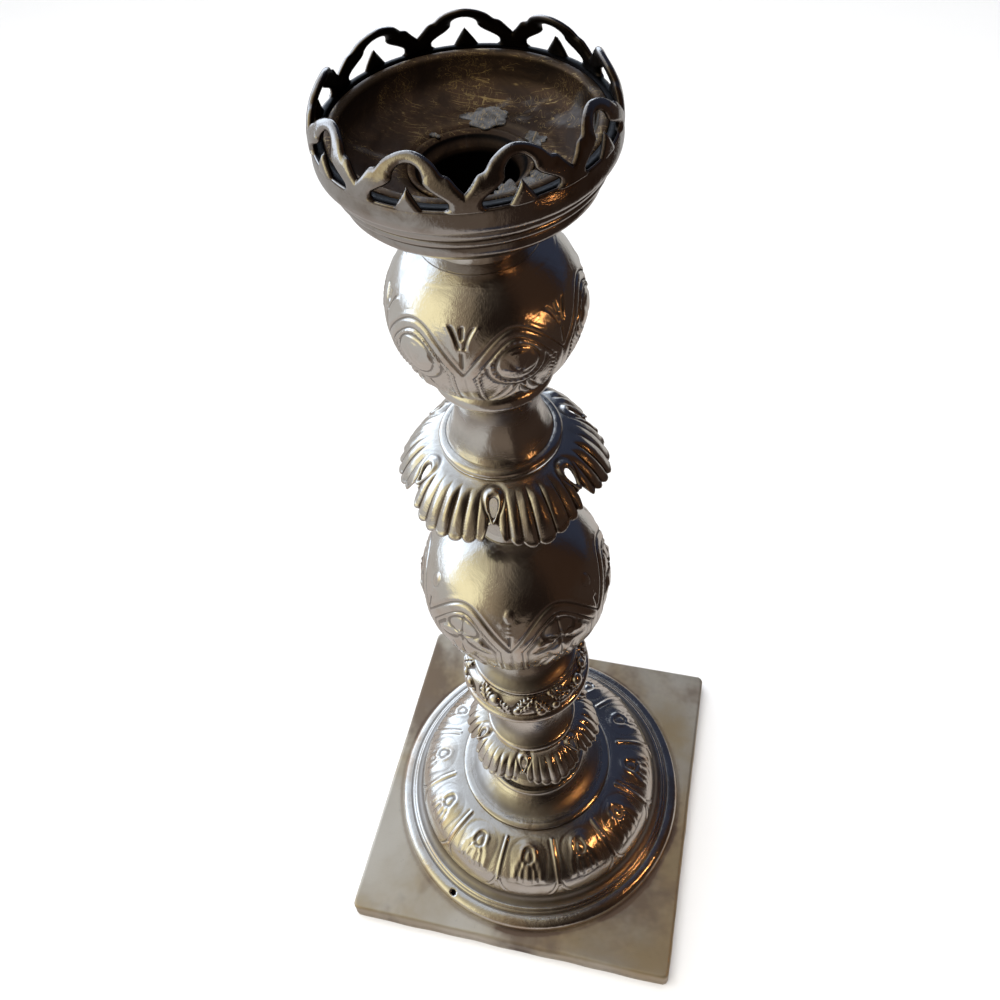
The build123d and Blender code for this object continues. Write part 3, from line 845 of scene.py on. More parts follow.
def panelField(phi, z, r, shape):
    # x, y in mm from the panel's middle line and the equator, xv from the joint between two arches,
    # and the distance inside the panel's outline: below a cosine arch and off the joint line
    a = folded(phi, shape["panel"], 60.0)
    lat = np.arcsin(np.clip((z - shape["centre"]) / shape["radius"], -1, 1))
    y = shape["radius"] * lat
    reach = np.radians(30) * r
    x = np.radians(a) * r
    xv = np.radians(folded(phi, shape["panel"] + 30, 60.0)) * r
    arch = shape["vee"] + shape["rise"] * np.cos(np.radians(3 * a))
    slope = shape["rise"] * np.sin(np.radians(3 * np.abs(a))) * math.pi / 2 / np.maximum(reach, 4)
    below = (arch - y) / np.sqrt(1 + slope**2)
    return x, y, xv, below, np.minimum(below, reach - np.abs(x))


def archMouldings(below, inside):
    # bright fillet, dark groove, round band and second line that follow the arch
    out = 0.14 * hump(below + 0.70, 0.6) - 0.30 * hump(below - 0.05, 0.28)
    out = out * ease(inside - below, -0.9, -0.2)
    out = out + 0.15 * between(inside, 0.9, 2.1, 0.55) - 0.26 * hump(inside - 2.75, 0.28)
    return out + 0.10 * hump(inside - 3.3, 0.42)


def upperRelief(phi, along, r, z, shape=upperPanels):
    # Six arched panels: beaded medallion with a flower, leaf scrolls below, tulip cuts between.
    x, y, xv, below, inside = panelField(phi, z, r, shape)
    out = archMouldings(below, inside)
    rope = 0.16 * np.cos(y * 4.2 + np.sign(xv) * 0.8) * hump(inside - 3.25, 0.55)
    rope = rope * (y < shape["vee"] + 2)
    ground = -0.30 * ease(inside, 3.5, 4.1)
    dots = 0.13 * np.clip(np.sin(x * 4.4) * np.sin(y * 4.4), 0, 1) * ease(inside, 3.6, 4.4)
    # medallion: a low domed disc with a shell of soft ribs, a beaded line and a plain ring
    centreY = 0.4
    rho = np.hypot(x, y - centreY)
    turn = np.arctan2(x, y - centreY)
    disc = 0.30 * (1 - ease(rho, 6.9, 7.5)) + 0.24 * hump(rho - 7.2, 0.45)
    disc = disc - 0.34 * hump(rho - 7.95, 0.32)
    beads = 0.24 * hump(rho - 6.1, 0.42) * (0.5 + 0.5 * np.cos(26 * turn))
    shellR = np.hypot(x, y - centreY + 2.4)
    shellTurn = np.arctan2(x, y - centreY + 2.9)
    shell = 0.20 * np.abs(np.cos(shellTurn * 3.5)) * between(shellR, 1.6, 5.6, 0.8)
    shell = shell * (np.abs(shellTurn) < 1.35)
    flower = 0.55 * np.sqrt(np.clip(1 - (rho / 5.6) ** 2, 0, 1)) + shell
    flower = flower - 0.20 * hump(rho - 5.5, 0.35)
    medal = ease(7.9 - rho, -0.6, 0.4)
    dots = dots * (1 - medal)
    # leaf scrolls between the medallion and the seat
    drop = centreY - 8.0 - y
    curl = np.abs(x) - 1.1 - 0.26 * np.clip(drop, 0, 20) ** 1.18
    leaf = 0.48 * hump(curl, 0.75) + 0.42 * hump(curl + 2.2, 0.6) - 0.36 * hump(curl + 1.1, 0.40)
    leaf = leaf - 0.36 * hump(curl - 1.25, 0.45) + 0.35 * hump(curl - 2.7, 0.7)
    leaf = (leaf + 0.35 * hump(x, 0.5)) * ease(drop, -0.2, 1.6) * ease(inside, 3.2, 4.0)
    # tulip cuts above the joint
    slit = -0.75 * hump(xv, 0.42) * between(y, 8.6, 11.6, 0.5)
    comma = 0.75 + 2.3 * np.clip((y - 5.8) / 6.2, 0, 1.2) ** 1.7
    cuts = -0.55 * hump(np.abs(xv) - comma, 0.34 + 0.12 * np.clip(y - 6, 0, 6) / 6)
    cuts = cuts * between(y, 6.4, 11.4, 0.7)
    lips = 0.20 * hump(np.abs(xv) - comma - 0.95, 0.5) * between(y, 6.4, 11.6, 0.8)
    stem = -0.40 * hump(xv, 0.30) * between(y, 0.2, 4.6, 0.6)
    # faint scallops below the upper seam
    swag = 19.4 + 1.2 * np.abs(np.sin(np.radians(folded(phi, shape["panel"], 60.0) * 3)))
    scallop = -0.05 * hump(y - swag, 0.32) + 0.03 * hump(y - swag - 0.7, 0.5)
    medal = medal * (disc + beads + flower) * ease(inside, 2.6, 3.8)
    inner = ground + dots + medal + leaf
    return out + rope + inner + slit + cuts + lips + stem + scallop


def lowerRelief(phi, along, r, z, shape=lowerPanels):
    # Six arched panels: low oval boss over a spreading leaf, a drop on a chain between.
    x, y, xv, below, inside = panelField(phi, z, r, shape)
    out = archMouldings(below * 0.8, inside * 0.8) * 1.15
    ground = -0.30 * ease(inside, 4.0, 5.0)
    centreY = 7.4
    oval = np.hypot(x / 6.4, (y - centreY) / 4.6)
    boss = 0.42 * np.sqrt(np.clip(1 - (oval / 0.8) ** 2, 0, 1)) + 0.16 * hump((oval - 1.02) * 5, 0.6)
    boss = boss * (1 - ease(oval, 1.1, 1.3))
    # spreading leaf: fingers from a root in the middle of the panel, with curled tips
    rootY = centreY - 4.2
    dx, dy = x, rootY - y
    reach = np.hypot(dx, dy)
    turn = np.arctan2(np.abs(dx), dy + 2.0)
    finger = np.abs(np.cos(turn * 3.0 - 0.12 * reach))
    leafEdge = 9.0 + 2.0 * np.cos(turn * 6.0)
    leaf = (0.85 * finger**0.8 - 0.25) * ease(leafEdge - reach, -0.6, 1.6)
    leaf = leaf * ease(reach, 0.3, 2.4) * (dy > -3.0)
    leaf = leaf - 0.30 * hump(dx, 0.4) * ease(leafEdge - reach, 0, 2)
    leaf = leaf + 0.45 * hump(np.hypot(np.abs(x) - 7.0, y - rootY - 0.6), 1.5)
    # long strokes down to the seat
    drop = rootY - 9.4 - y
    curl = np.abs(x) - 2.4 - 2.0 * np.sin(np.clip(drop / 14, 0, 1) * math.pi)
    strokes = 0.50 * hump(curl, 0.8) - 0.42 * hump(curl - 1.4, 0.5) + 0.34 * hump(curl - 3.0, 0.8)
    strokes = strokes + 0.40 * hump(x, 0.7) - 0.30 * hump(np.abs(x) - 1.2, 0.4)
    strokes = strokes * between(drop, 0.4, 17, 1.2) * ease(inside, 3.0, 4.0)
    frill = 0.32 * np.cos(np.radians(phi * 30)) * ease(drop, 12, 14.5) * ease(inside, 2.6, 3.6)
    # drop and chain above the joint
    pendant = 0.34 * np.sqrt(np.clip(1 - (xv / 1.5) ** 2 - ((y - 15.8) / 2.4) ** 2, 0, 1))
    chain = 0.22 * hump(xv, 0.75) * (0.55 + 0.45 * np.cos(y * 4.1)) * between(y, 8.5, 13.0, 0.5)
    wings = 0.16 * hump(np.hypot(np.abs(xv) - 2.2, y - 13.0), 1.0)
    cut = -0.42 * hump(xv, 0.30) * between(y, 3.6, 8.2, 0.6)
    middle = (boss + leaf) * ease(inside, 2.8, 3.8)
    return out + ground + middle + strokes + frill + pendant + chain + wings + cut


def globe(name, finish, relief, shape):
    # a ball's arc from its lower opening to its upper one, turned about the axis
    radius, middle, wall = shape["radius"], (0, shape["centre"]), 1.2
    lowR, highR = shape["seats"]
    low = -math.degrees(math.acos(lowR / radius))
    high = math.degrees(math.acos(highR / radius))
    outer = roundLine(middle, radius, low, high, 0.38)
    inner = roundLine(middle, radius - wall, high, low, 2.0)
    return turned(name, outer, inner, finish, relief, count=420, dent=0.05, tarnishAndShadeEnds=0.7)


# leaf collars
upperCollar = {
    "line": [(17.6, 230.1), (19.6, 229.7), (22.0, 228.4), (24.6, 225.9), (27.0, 222.8), (29.0, 219.2),
             (30.4, 215.6), (31.0, 212.5)],
    "lobe": -52.0, "lobes": 6, "flutes": 6.6, "deep": 0.95, "wall": 0.8, "scallop": 1.25,
    "tip": 19.3, "sides": 15.4, "notch": 11.9, "hole": (7.7, 1.45, 2.2), "start": 2.2,
}
lowerCollar = {
    "line": [(16.2, 69.4), (18.0, 69.0), (20.2, 67.6), (22.2, 65.2), (23.8, 62.4), (25.0, 59.4),
             (25.7, 56.4)],
    "lobe": -56.0, "lobes": 6, "flutes": 6.6, "deep": 0.70, "wall": 0.8, "scallop": 0.9,
    "tip": 12.7, "sides": 10.6, "notch": 7.9, "hole": (4.7, 0.85, 1.35), "start": 1.2,
}


def leafCollar(name, finish, shape):
    # Umbrella of six fluted leaves: the profile turned about the axis, raised by |cos| flutes.
    # The free edge lies at tip, less at the sides of a leaf, and is bitten out at each joint; a
    # drop-shaped hole sits above each bite.
    line = smoothLine(shape["line"], 0.1)
    length = np.r_[0, np.cumsum(np.hypot(*np.diff(line, axis=0).T))]
    normal = outwards(line[::-1])[::-1]
    pitch = 360 / shape["lobes"]

    def fromJoint(phi):
        return folded(phi, shape["lobe"] + pitch / 2, pitch)

    def fluteOf(phi):
        b = folded(phi, shape["lobe"], pitch)
        wander = 0.12 * np.sin(np.radians(phi) * 4 + 0.6) + 0.09 * np.sin(np.radians(phi) * 7 + 2)
        return b / pitch * shape["flutes"] * (1 + 0.22 * (b / 30) ** 2) + wander * (1 - (b / 30) ** 2)

    def radiusAt(along):
        return np.interp(along, length, line[:, 0])

    def edgeAt(phi):
        b = np.abs(folded(phi, shape["lobe"], pitch)) / (pitch / 2)
        droop = shape["tip"] - (shape["tip"] - shape["sides"]) * b**2
        scallop = shape["scallop"] * (np.abs(np.cos(math.pi * fluteOf(phi))) ** 0.6 - 0.7)
        bite = (droop - shape["notch"]) * (1 - ease(np.abs(fromJoint(phi)), 0.6, 6.2))
        uneven = 0.35 * np.sin(np.radians(phi) * 5 + 1) + 0.3 * np.sin(np.radians(phi) * 11)
        return droop + scallop - bite + uneven * (b < 0.8)

    def holeField(phi, along):
        x = np.radians(fromJoint(phi)) * radiusAt(along)
        y = along - shape["hole"][0]
        halfX, halfY = shape["hole"][1:]
        narrow = np.clip(1 - 0.45 * (y + halfY) / (2 * halfY), 0.3, 1.2)
        return (np.hypot(x / (halfX * narrow), y / (halfY * 1.3)) - 1) * halfX

    def keep(phi, along):
        return np.minimum((edgeAt(phi) - along) * 0.8, holeField(phi, along))

    def ripple(phi, along):
        f = fluteOf(phi)
        grow = ease(along, shape["start"], shape["start"] + 5.5)
        uneven = 0.8 + 0.25 * np.sin(np.radians(phi) * 13 + 1) + 0.15 * np.sin(np.radians(phi) * 29)
        flutes = shape["deep"] * uneven * (np.abs(np.cos(math.pi * f)) ** 0.6 - 0.55) * grow
        drift = np.sin(np.radians(phi * 7) + along * 0.25)
        flutes = flutes + 0.10 * np.cos(math.pi * 2.0 * f) * drift * grow
        valley = np.abs(np.sin(math.pi * f))
        ribs = 0.045 * np.cos(along * 7.0 - 3 * valley) * grow * valley
        hole = holeField(phi, along)
        rim = 0.45 * hump(hole - 0.7, 0.5) - 0.25 * hump(hole - 1.7, 0.5)
        calm = 1 - 0.8 * hump(hole, 1.2)
        curl = 0.35 * hump(edgeAt(phi) - along, 1.0)
        b = np.radians(folded(phi, shape["lobe"], pitch))
        swell = 0.60 * np.cos(b * 180 / pitch * math.pi / 2) * grow
        return flutes * calm + ribs * calm + rim + curl + swell

    def surface(phi, along):
        r = radiusAt(along)
        z = np.interp(along, length, line[:, 1])
        nr = np.interp(along, length, normal[:, 0])
        nz = np.interp(along, length, normal[:, 1])
        lift = ripple(phi, along)
        turn = np.radians(phi)
        r2, z2 = r + nr * lift, z + nz * lift
        middle = np.stack([r2 * np.cos(turn), r2 * np.sin(turn), z2], axis=2)
        away = np.stack([nr * np.cos(turn), nr * np.sin(turn), nz], axis=2)
        return middle, away

    def halfWall(phi, along, gap):
        return shape["wall"] / 2 * (0.45 + 0.55 * ease(gap, 0, 0.5))

    phi = np.linspace(0, 360, 720, endpoint=False)
    reach = shape["tip"] + 1.4
    along = np.linspace(0, reach, int(reach / 0.36))[::-1]
    return pierced(name, surface, keep, phi, along, halfWall, finish, ripple)


# cup
galleryShape = {
    "line": [(34.65, 335.9), (34.55, 338.2), (34.0, 341.0), (32.7, 344.2), (30.4, 347.35)],
    # backMark 2.05 paints the band's back faces near black: painted shade on the inside of the gallery
    "middleR": 33.4, "arch": -55.0, "arches": 9, "half": 0.95, "backMark": 2.05,
    "vee": 3.9, "rise": 8.6, "head": (6.6, 3.3), "waist": 3.3, "foot": 8.3, "sill": 0.25,
    "spike": (2.9, 4.9),
}


def gallery(finish, shape=galleryShape):
    # Cast gallery of nine arches: a round-edged band with keyhole openings and a spike in each.
    # The outline is a cosine arch with a nick on each shoulder; an opening is a circle joined to a wide
    # foot, less a triangle.
    line = smoothLine(shape["line"], 0.1)
    length = np.r_[0, np.cumsum(np.hypot(*np.diff(line, axis=0).T))]
    normal = outwards(line)
    pitch = 360 / shape["arches"]

    def keep(phi, along):
        b = np.abs(folded(phi, shape["arch"], pitch))
        x = np.radians(b) * shape["middleR"]
        y = along
        nick = 0.35 * hump(b - 15.4, 1.7) - 0.60 * hump(b - 12.4, 1.7)
        topLine = shape["vee"] + shape["rise"] * np.cos(np.radians(b * 180 / pitch)) + nick
        slope = shape["rise"] * np.sin(np.radians(b * 180 / pitch)) * math.pi / 2 / 11.6
        under = (topLine - y) / np.sqrt(1 + slope**2)
        head = np.hypot(x, y - shape["head"][0]) - shape["head"][1]
        wide = shape["waist"] + (shape["foot"] - shape["waist"]) * (1 - ease(y, 1.6, 6.4))
        corner = 0.9 * np.clip(1 - (y - shape["sill"]) / 0.9, 0, 1) ** 2
        low = np.maximum((x - wide + corner) * 0.8, shape["sill"] - y)
        low = np.maximum(low, y - 7.0)
        opening = np.minimum(head, low)
        spikeHalf, spikeHigh = shape["spike"]
        spike = (spikeHalf * (1 - (y - shape["sill"]) / spikeHigh) - x) * 0.84
        return np.minimum(under, np.maximum(opening, spike))

    def surface(phi, along):
        turn = np.radians(phi)
        r, z = np.interp(along, length, line[:, 0]), np.interp(along, length, line[:, 1])
        nr = np.interp(along, length, normal[:, 0])
        nz = np.interp(along, length, normal[:, 1])
        sway = 0.35 * np.sin(turn * 2 + 0.7) * np.clip(along / 12, 0, 1)
        middle = np.stack([(r + sway) * np.cos(turn), (r + sway) * np.sin(turn), z], axis=2)
        return middle, np.stack([nr * np.cos(turn), nr * np.sin(turn), nz], axis=2)

    def halfWall(phi, along, gap):
        near = np.clip(gap / 1.35, 0, 1)
        return shape["half"] * np.sqrt(np.clip(1 - (1 - near) ** 2, 0.02, 1))

    def ripple(phi, along):
        return 0.3 * ease(keep(phi, along), 0, 1.2)

    phi = np.linspace(0, 360, 900, endpoint=False)
    along = np.linspace(0, length[-1], 52)
    return pierced("cup_gallery", surface, keep, phi, along, halfWall, finish, ripple,
                   body="candle_cup", backMark=shape["backMark"])


cupShape = {
    # lines from the bottom up, or from the middle out, each part with its spacing
    "bowl": [
        (0.35, [(13.3, 308.0), (13.35, 309.6), (14.6, 311.6)]),
        (fineStep, [(14.6, 311.6), (19.6, 313.2), (24.0, 315.2), (28.0, 318.0), (30.6, 320.8)]),
        (0.35, [(30.6, 320.8), (30.9, 322.4), (30.6, 324.0)]),
        (0.8, [(30.6, 324.0), (32.2, 329.4), (32.2, 336.0)]),
    ],
    "moulding": [
        (0.3, [(30.6, 324.0), (31.4, 324.2)]),
        (0.25, [(31.4, 324.2), (32.15, 324.6), (32.5, 325.4), (32.2, 326.6)]),
        (0.25, [(32.2, 326.6), (32.9, 326.9), (33.4, 327.6), (33.6, 329.4)]),
    ],
    "mouldingInside": [(32.3, 329.4), (31.5, 327.2), (30.7, 324.3)],
    "rim": [
        (0.4, [(33.0, 329.4), (34.2, 329.4)]),
        (0.25, [(34.2, 329.4), (35.1, 330.4), (35.5, 331.8), (35.4, 333.9), (34.9, 336.0)]),
    ],
    "rimInside": [(34.3, 336.3), (32.4, 336.2), (32.3, 329.5)],
    "pan": [
        (0.35, [(14.8, 323.4), (16.4, 324.8), (19.4, 325.4), (22.4, 325.8), (23.6, 326.2), (24.6, 326.8),
                (26.4, 327.6), (27.8, 328.5), (28.9, 329.9), (29.4, 331.6), (29.8, 335.6)]),
        (0.35, [(29.8, 335.6), (30.3, 336.2), (31.2, 336.4), (32.2, 336.1)]),
    ],
    # the socket, from its lip down the bore and up the outside
    "socket": [
        (0.3, [(12.0, 322.2), (13.4, 322.9), (14.7, 323.6), (14.9, 324.3), (14.1, 324.4)]),
        (0.3, [(14.1, 324.4), (13.2, 323.6), (11.9, 322.2), (11.3, 321.0)]),
        (0.6, [(11.3, 321.0), (11.25, 301.4)]),
        (1.0, [(11.25, 301.4), (3.4, 301.4)]),
    ],
    "socketOutside": [(3.4, 299.5), (11.6, 299.5), (12.0, 300.0), (12.0, 311.0)],
    "walls": {"bowl": 1.1, "pan": 0.8},
    # painted shade: how black it is, and where it starts and ends, in height or radius
    "bowlPaintedShade": (0.65, 334.0, 335.5),
    "rimPaintedShade": (0.65, 335.2, 335.9),
    "panPaintedShade": (0.55, 14.9, 16.4),
    "borePaintedShade": (0.6, 323.4, 324.6),
}


def hammered(phi, along, r, z):
    # two turned grooves and soft hammer marks
    ring = -0.03 * hump(r - 20.6, 0.4) - 0.05 * hump(r - 26.9, 0.4)
    return ring + 0.05 * np.sin(np.radians(phi * 9) + r) * np.sin(r * 0.8)


def cup(finish, insideFinish, shape=cupShape):
    # bowl, moulding, rim, pan and socket: their lines turned about the axis
    # masks of black painted shade: above a height, below a height, and nearer the axis than a radius
    def above(amount, low, high):
        return lambda phi, along, r, z: amount * ease(z, low, high)

    def below(amount, low, high):
        return lambda phi, along, r, z: amount * (1 - ease(z, low, high))

    def nearer(amount, low, high):
        return lambda phi, along, r, z: amount * (1 - ease(r, low, high))

    bowl = chained(*shape["bowl"])
    # the inside faces of the bowl and the rim are painted black as shade in the gaps between the parts
    turned("cup_bowl", bowl, innerWall(bowl, shape["walls"]["bowl"]), finish, body="candle_cup",
           count=360, dent=0.04, tarnishAndShadeEnds=0.3, innerPaintedShade=2.5, paintedShade=above(*shape["bowlPaintedShade"]))
    turned("cup_moulding", chained(*shape["moulding"]), np.array(shape["mouldingInside"]), finish,
           body="candle_cup", count=360, dent=0.02, tarnishAndShadeEnds=0.6)
    turned("cup_rim", chained(*shape["rim"]), np.array(shape["rimInside"]), finish, body="candle_cup",
           count=360, dent=0.02, tarnishAndShadeEnds=0.5, innerPaintedShade=2.5, paintedShade=above(*shape["rimPaintedShade"]))
    pan = chained(*shape["pan"])[::-1]
    brassPart = {"body": "candle_cup", "slotName": "tarnished_brass", "tarnishAndShadeEnds": 0.2}
    turned("cup_pan", pan, innerWall(pan, shape["walls"]["pan"]), insideFinish, hammered,
           count=360, dent=0.10, paintedShade=nearer(*shape["panPaintedShade"]), **brassPart)
    turned("candle_socket", chained(*shape["socket"]), np.array(shape["socketOutside"]), insideFinish,
           count=240, dent=0.05, paintedShade=below(*shape["borePaintedShade"]), **brassPart)


crustShape = {
    # place: angle and radius of the middle in the pan, then length, width and turn, in degrees and mm
    "behind": (92.0, 17.6, 6.2, 3.0, 90.0),
    "flake": (38.0, 16.6, 3.2, 1.9, 100.0),
    "frontLeft": (-47.0, 18.0, 6.2, 3.1, -10.0),
    "frontRight": (-18.0, 20.6, 5.6, 4.2, 20.0),
    "rightEdge": (12.0, 27.4, 6.6, 2.4, 85.0),
    "speck": (141.0, 14.6, 1.2, 0.8, 30.0),
}


def panHeight(r):
    # the pan's surface: height at a radius
    return np.interp(r, [14.0, 16.4, 19.4, 23.6, 24.4, 27.8, 28.9, 29.8],
                     [324.5, 324.9, 325.5, 326.3, 327.2, 328.5, 329.8, 335.0])


def crusts(finish, shape=crustShape):
    # Flakes of old wax and scale left in the pan: ragged ovals laid on its surface.
    # Point = middle + a disc's point times a ragged radius; the top is a low dome with a sharp edge, the
    # bottom follows the pan.
    across = np.linspace(-1, 1, 29)
    u, v = np.meshgrid(across, across, indexing="ij")
    # a square grid drawn into a disc
    discX, discY = u * np.sqrt(1 - v**2 / 2), v * np.sqrt(1 - u**2 / 2)
    share, turn = np.hypot(discX, discY), np.arctan2(discY, discX)
    index = np.arange(u.size).reshape(u.shape)
    corners = [index[:-1, :-1], index[1:, :-1], index[1:, 1:], index[:-1, 1:]]
    sheet = np.stack(corners, axis=2).reshape(-1, 4)
    points, quads, start = [], [], 0
    for number, (angle, radius, longHalf, wideHalf, tilt) in enumerate(shape.values()):
        random = np.random.default_rng(60 + number)
        ragged = 1.0
        for wave in range(2, 13):
            ragged = ragged + random.normal(0, 0.30 / wave) * np.cos(wave * turn + random.uniform(0, 6.3))
        lean = math.radians(angle + tilt)
        onLong, onWide = longHalf * ragged * discX, wideHalf * ragged * discY
        x = radius * math.cos(math.radians(angle)) + onLong * math.cos(lean) - onWide * math.sin(lean)
        y = radius * math.sin(math.radians(angle)) + onLong * math.sin(lean) + onWide * math.cos(lean)
        ground = panHeight(np.hypot(x, y))
        grain = 0.10 * np.sin(x * 2.3 + number) * np.sin(y * 2.9)
        grain = grain + 0.05 * np.sin(x * 6.1) * np.sin(y * 5.3)
        top = ground + 0.30 + 0.22 * np.sqrt(np.clip(1 - share**2 * 0.96, 0, 1)) + grain
        points.append(np.stack([x, y, top], axis=2).reshape(-1, 3))
        points.append(np.stack([x, y, ground - 0.25], axis=2).reshape(-1, 3))
        quads.append(twoSided(sheet, u.size) + start)
        start += 2 * u.size
    piece = putMesh("wax_crust_look", np.concatenate(points), np.concatenate(quads), {})
    piece.data.materials.append(finish)
    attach(piece, "candle_cup")
    return piece


crustLook = {
    "pale": (0.085, 0.085, 0.088),
    "dull": (0.028, 0.026, 0.025),
    "gold": (0.34, 0.25, 0.13),
}


def crustFinish(name, look=crustLook):
    # Grey scale and dirty wax: cloudy, scratched, a little golden.
    material, wire, shader = newFinish(name)
    place = wire.make("ShaderNodeTexCoord", out="Object")
    clouds = wire.noise(place, 260.0, 6.0, 0.65, 0.5)
    grain = wire.noise(place, 1500.0, 3.0, 0.7)
    hair = wire.noise(stretched(wire, place, (1.9, 0.3, 1.0)), 520.0, 2.0, 0.5, 1.0)
    hairs = wire.math("ABSOLUTE", hair - 0.5).step(0.02, 0.004)
    base = clouds.step(0.38, 0.62).colour(look["dull"], look["pale"])
    base = (hairs * 0.8).colour(base, look["gold"])
    wire.feed(shader.inputs["Base Color"], base)
    wire.feed(shader.inputs["Metallic"], hairs * 0.6 + 0.15)
    wire.feed(shader.inputs["Roughness"], 0.5 + clouds * 0.2 - hairs * 0.2)
    wire.feed(shader.inputs["Normal"], bumped(wire, clouds + grain * 0.6, 0.7, 0.0004))
    return material


# room, floor and camera
roomLook = {
    "front": -71.66,  # the direction from the axis to the camera, from +X
    "window": (0.74, 0.87, 1.06),
    "windowPower": 2.3,
    "cream": (1.0, 0.93, 0.62),
    "creamPower": 1.15,
    "wall": (0.36, 0.29, 0.205),
    "dark": (0.014, 0.009, 0.007),
    "brown": (0.036, 0.020, 0.013),
    "night": (0.030, 0.037, 0.064),
    "ceiling": (0.21, 0.18, 0.145),
    "bar": (0.35, 0.36, 0.40),
    "backdrop": 0.86,
    # where each part is: degrees round the axis, 0 towards the camera and 90 to its right, from where
    # it starts to show to where it is full; or the upward part of the direction
    "wander": 14.0,
    "darkFrom": (-46.0, 2.0),
    "brownFrom": (28.0, 48.0),
    "brownTo": (104.0, 84.0),
    "nightFrom": (88.0, 110.0),
    "creamFrom": (-104.0, -90.0),
    "creamTo": (-40.0, -52.0),
    "windowTo": (-84.0, -98.0),
    "windowSill": (-0.5, -0.2),
    "behindFrom": (158.0, 170.0),
    "behindTop": (0.55, 0.2),
    "ceilingFrom": (0.25, 0.95),
    "ceilingTo": (40.0, -60.0),
    "ceilingShare": 0.75,
    "barAt": 124.0,
    "barEdge": (5.0, 2.5),
    "barShare": 0.4,
}


def aheadRightUp(wire, vector):
    # the parts of a vector towards the camera, to the camera's right and upwards
    x, y, z = wire.split(vector)
    front = math.radians(roomLook["front"])
    ahead = x * math.cos(front) + y * math.sin(front)
    right = y * math.cos(front) - x * math.sin(front)
    return ahead, right, z


def room(look=roomLook):
    # Light of a room seen only in the metal: a cool window on the left, a cream wall and a dark right
    # side, by the direction's turn about the axis. The camera itself sees an even pale backdrop.
    world = bpy.data.worlds.new("room")
    bpy.context.scene.world = world
    world.use_nodes = True
    wire = Wire(world.node_tree)
    heading = wire.make("ShaderNodeTexCoord", out="Generated")
    ahead, right, z = aheadRightUp(wire, heading)
    psi = wire.math("ARCTAN2", right, ahead) * (180 / math.pi)
    soft = wire.noise(heading, 3.0, 3.0, 0.6, 0.6)
    bent = psi + (soft - 0.5) * look["wander"]
    base = bent.step(*look["darkFrom"]).colour(look["wall"], look["dark"])
    brown = bent.step(*look["brownFrom"]) * bent.step(*look["brownTo"])
    base = brown.colour(base, look["brown"])
    base = bent.step(*look["nightFrom"]).colour(base, look["night"])
    cream = bent.step(*look["creamTo"]) * bent.step(*look["creamFrom"])
    window = bent.step(*look["windowTo"]) * z.step(*look["windowSill"])
    behind = bent.step(*look["behindFrom"]) * z.step(*look["behindTop"])
    high = z.step(*look["ceilingFrom"]) * bent.step(*look["ceilingTo"])
    shine = cream.colour(base, tuple(c * look["creamPower"] for c in look["cream"]))
    windowColour = tuple(c * look["windowPower"] for c in look["window"])
    shine = (window + behind).limited().colour(shine, windowColour)
    shine = (high * look["ceilingShare"]).colour(shine, look["ceiling"])
    # a bar across the window
    fromBar = wire.math("ABSOLUTE", bent + look["barAt"])
    bars = (fromBar.step(*look["barEdge"]) * look["barShare"]).limited()
    shine = bars.colour(shine, look["bar"])
    seen = wire.make("ShaderNodeLightPath", out="Is Camera Ray")
    result = seen.colour(shine, (look["backdrop"],) * 3)
    wire.feed(world.node_tree.nodes["Background"].inputs["Color"], result)


floorLook = {"colour": (0.86, 0.845, 0.83), "size": 3.0, "light": 34.0, "lightSize": 1.6,
             "lightAt": (-0.15, -0.1, 1.5)}
cardLook = {
    "lift": 0.0003,
    "near": (0.52, 0.48, 0.46),
    "far": (0.52, 0.52, 0.52),
    "beyond": (0.16, 0.125, 0.10),
    "cloth": (0.030, 0.043, 0.080),
    "shade": (0.040, 0.026, 0.020),
    # in metres from the axis: where the dark part starts, then the pale part's change, the cloth's end
    # and the two edges of the shade
    "edge": (0.19, 0.205),
    "farFrom": (0.12, 0.6),
    "clothTo": (0.26, 0.30),
    "sideFrom": (-0.02, 0.12),
    "shadeFrom": (-0.02, 0.06),
}
lampLook = {
    # two shaded lamps: where each is, what it shines at, the width of its beam in degrees and its power
    "high": ((0.25, -0.105, 0.272), (0.0, 0.0, 0.282), 25.0, 0.13),
    "low": ((0.235, -0.045, 0.240), (0.02, -0.02, 0.035), 31.0, 0.30),
    "size": 0.022,
    "colour": (1.0, 0.45, 0.15),
}


def hiddenFromCamera(item):
    # seen by glossy rays only
    item.visible_camera = False
    item.visible_diffuse = False
    item.visible_shadow = False
    item.visible_transmission = False


def sheetAt(name, height, finish):
    # a square sheet that lies flat, and is no part of the object
    size = floorLook["size"]
    corners = [(-size, -size, height), (size, -size, height), (size, size, height), (-size, size, height)]
    sheet = putMesh(name, np.array(corners) / mm, np.array([[0, 1, 2, 3]]), {})
    sheet.data.materials.append(finish)
    return sheet


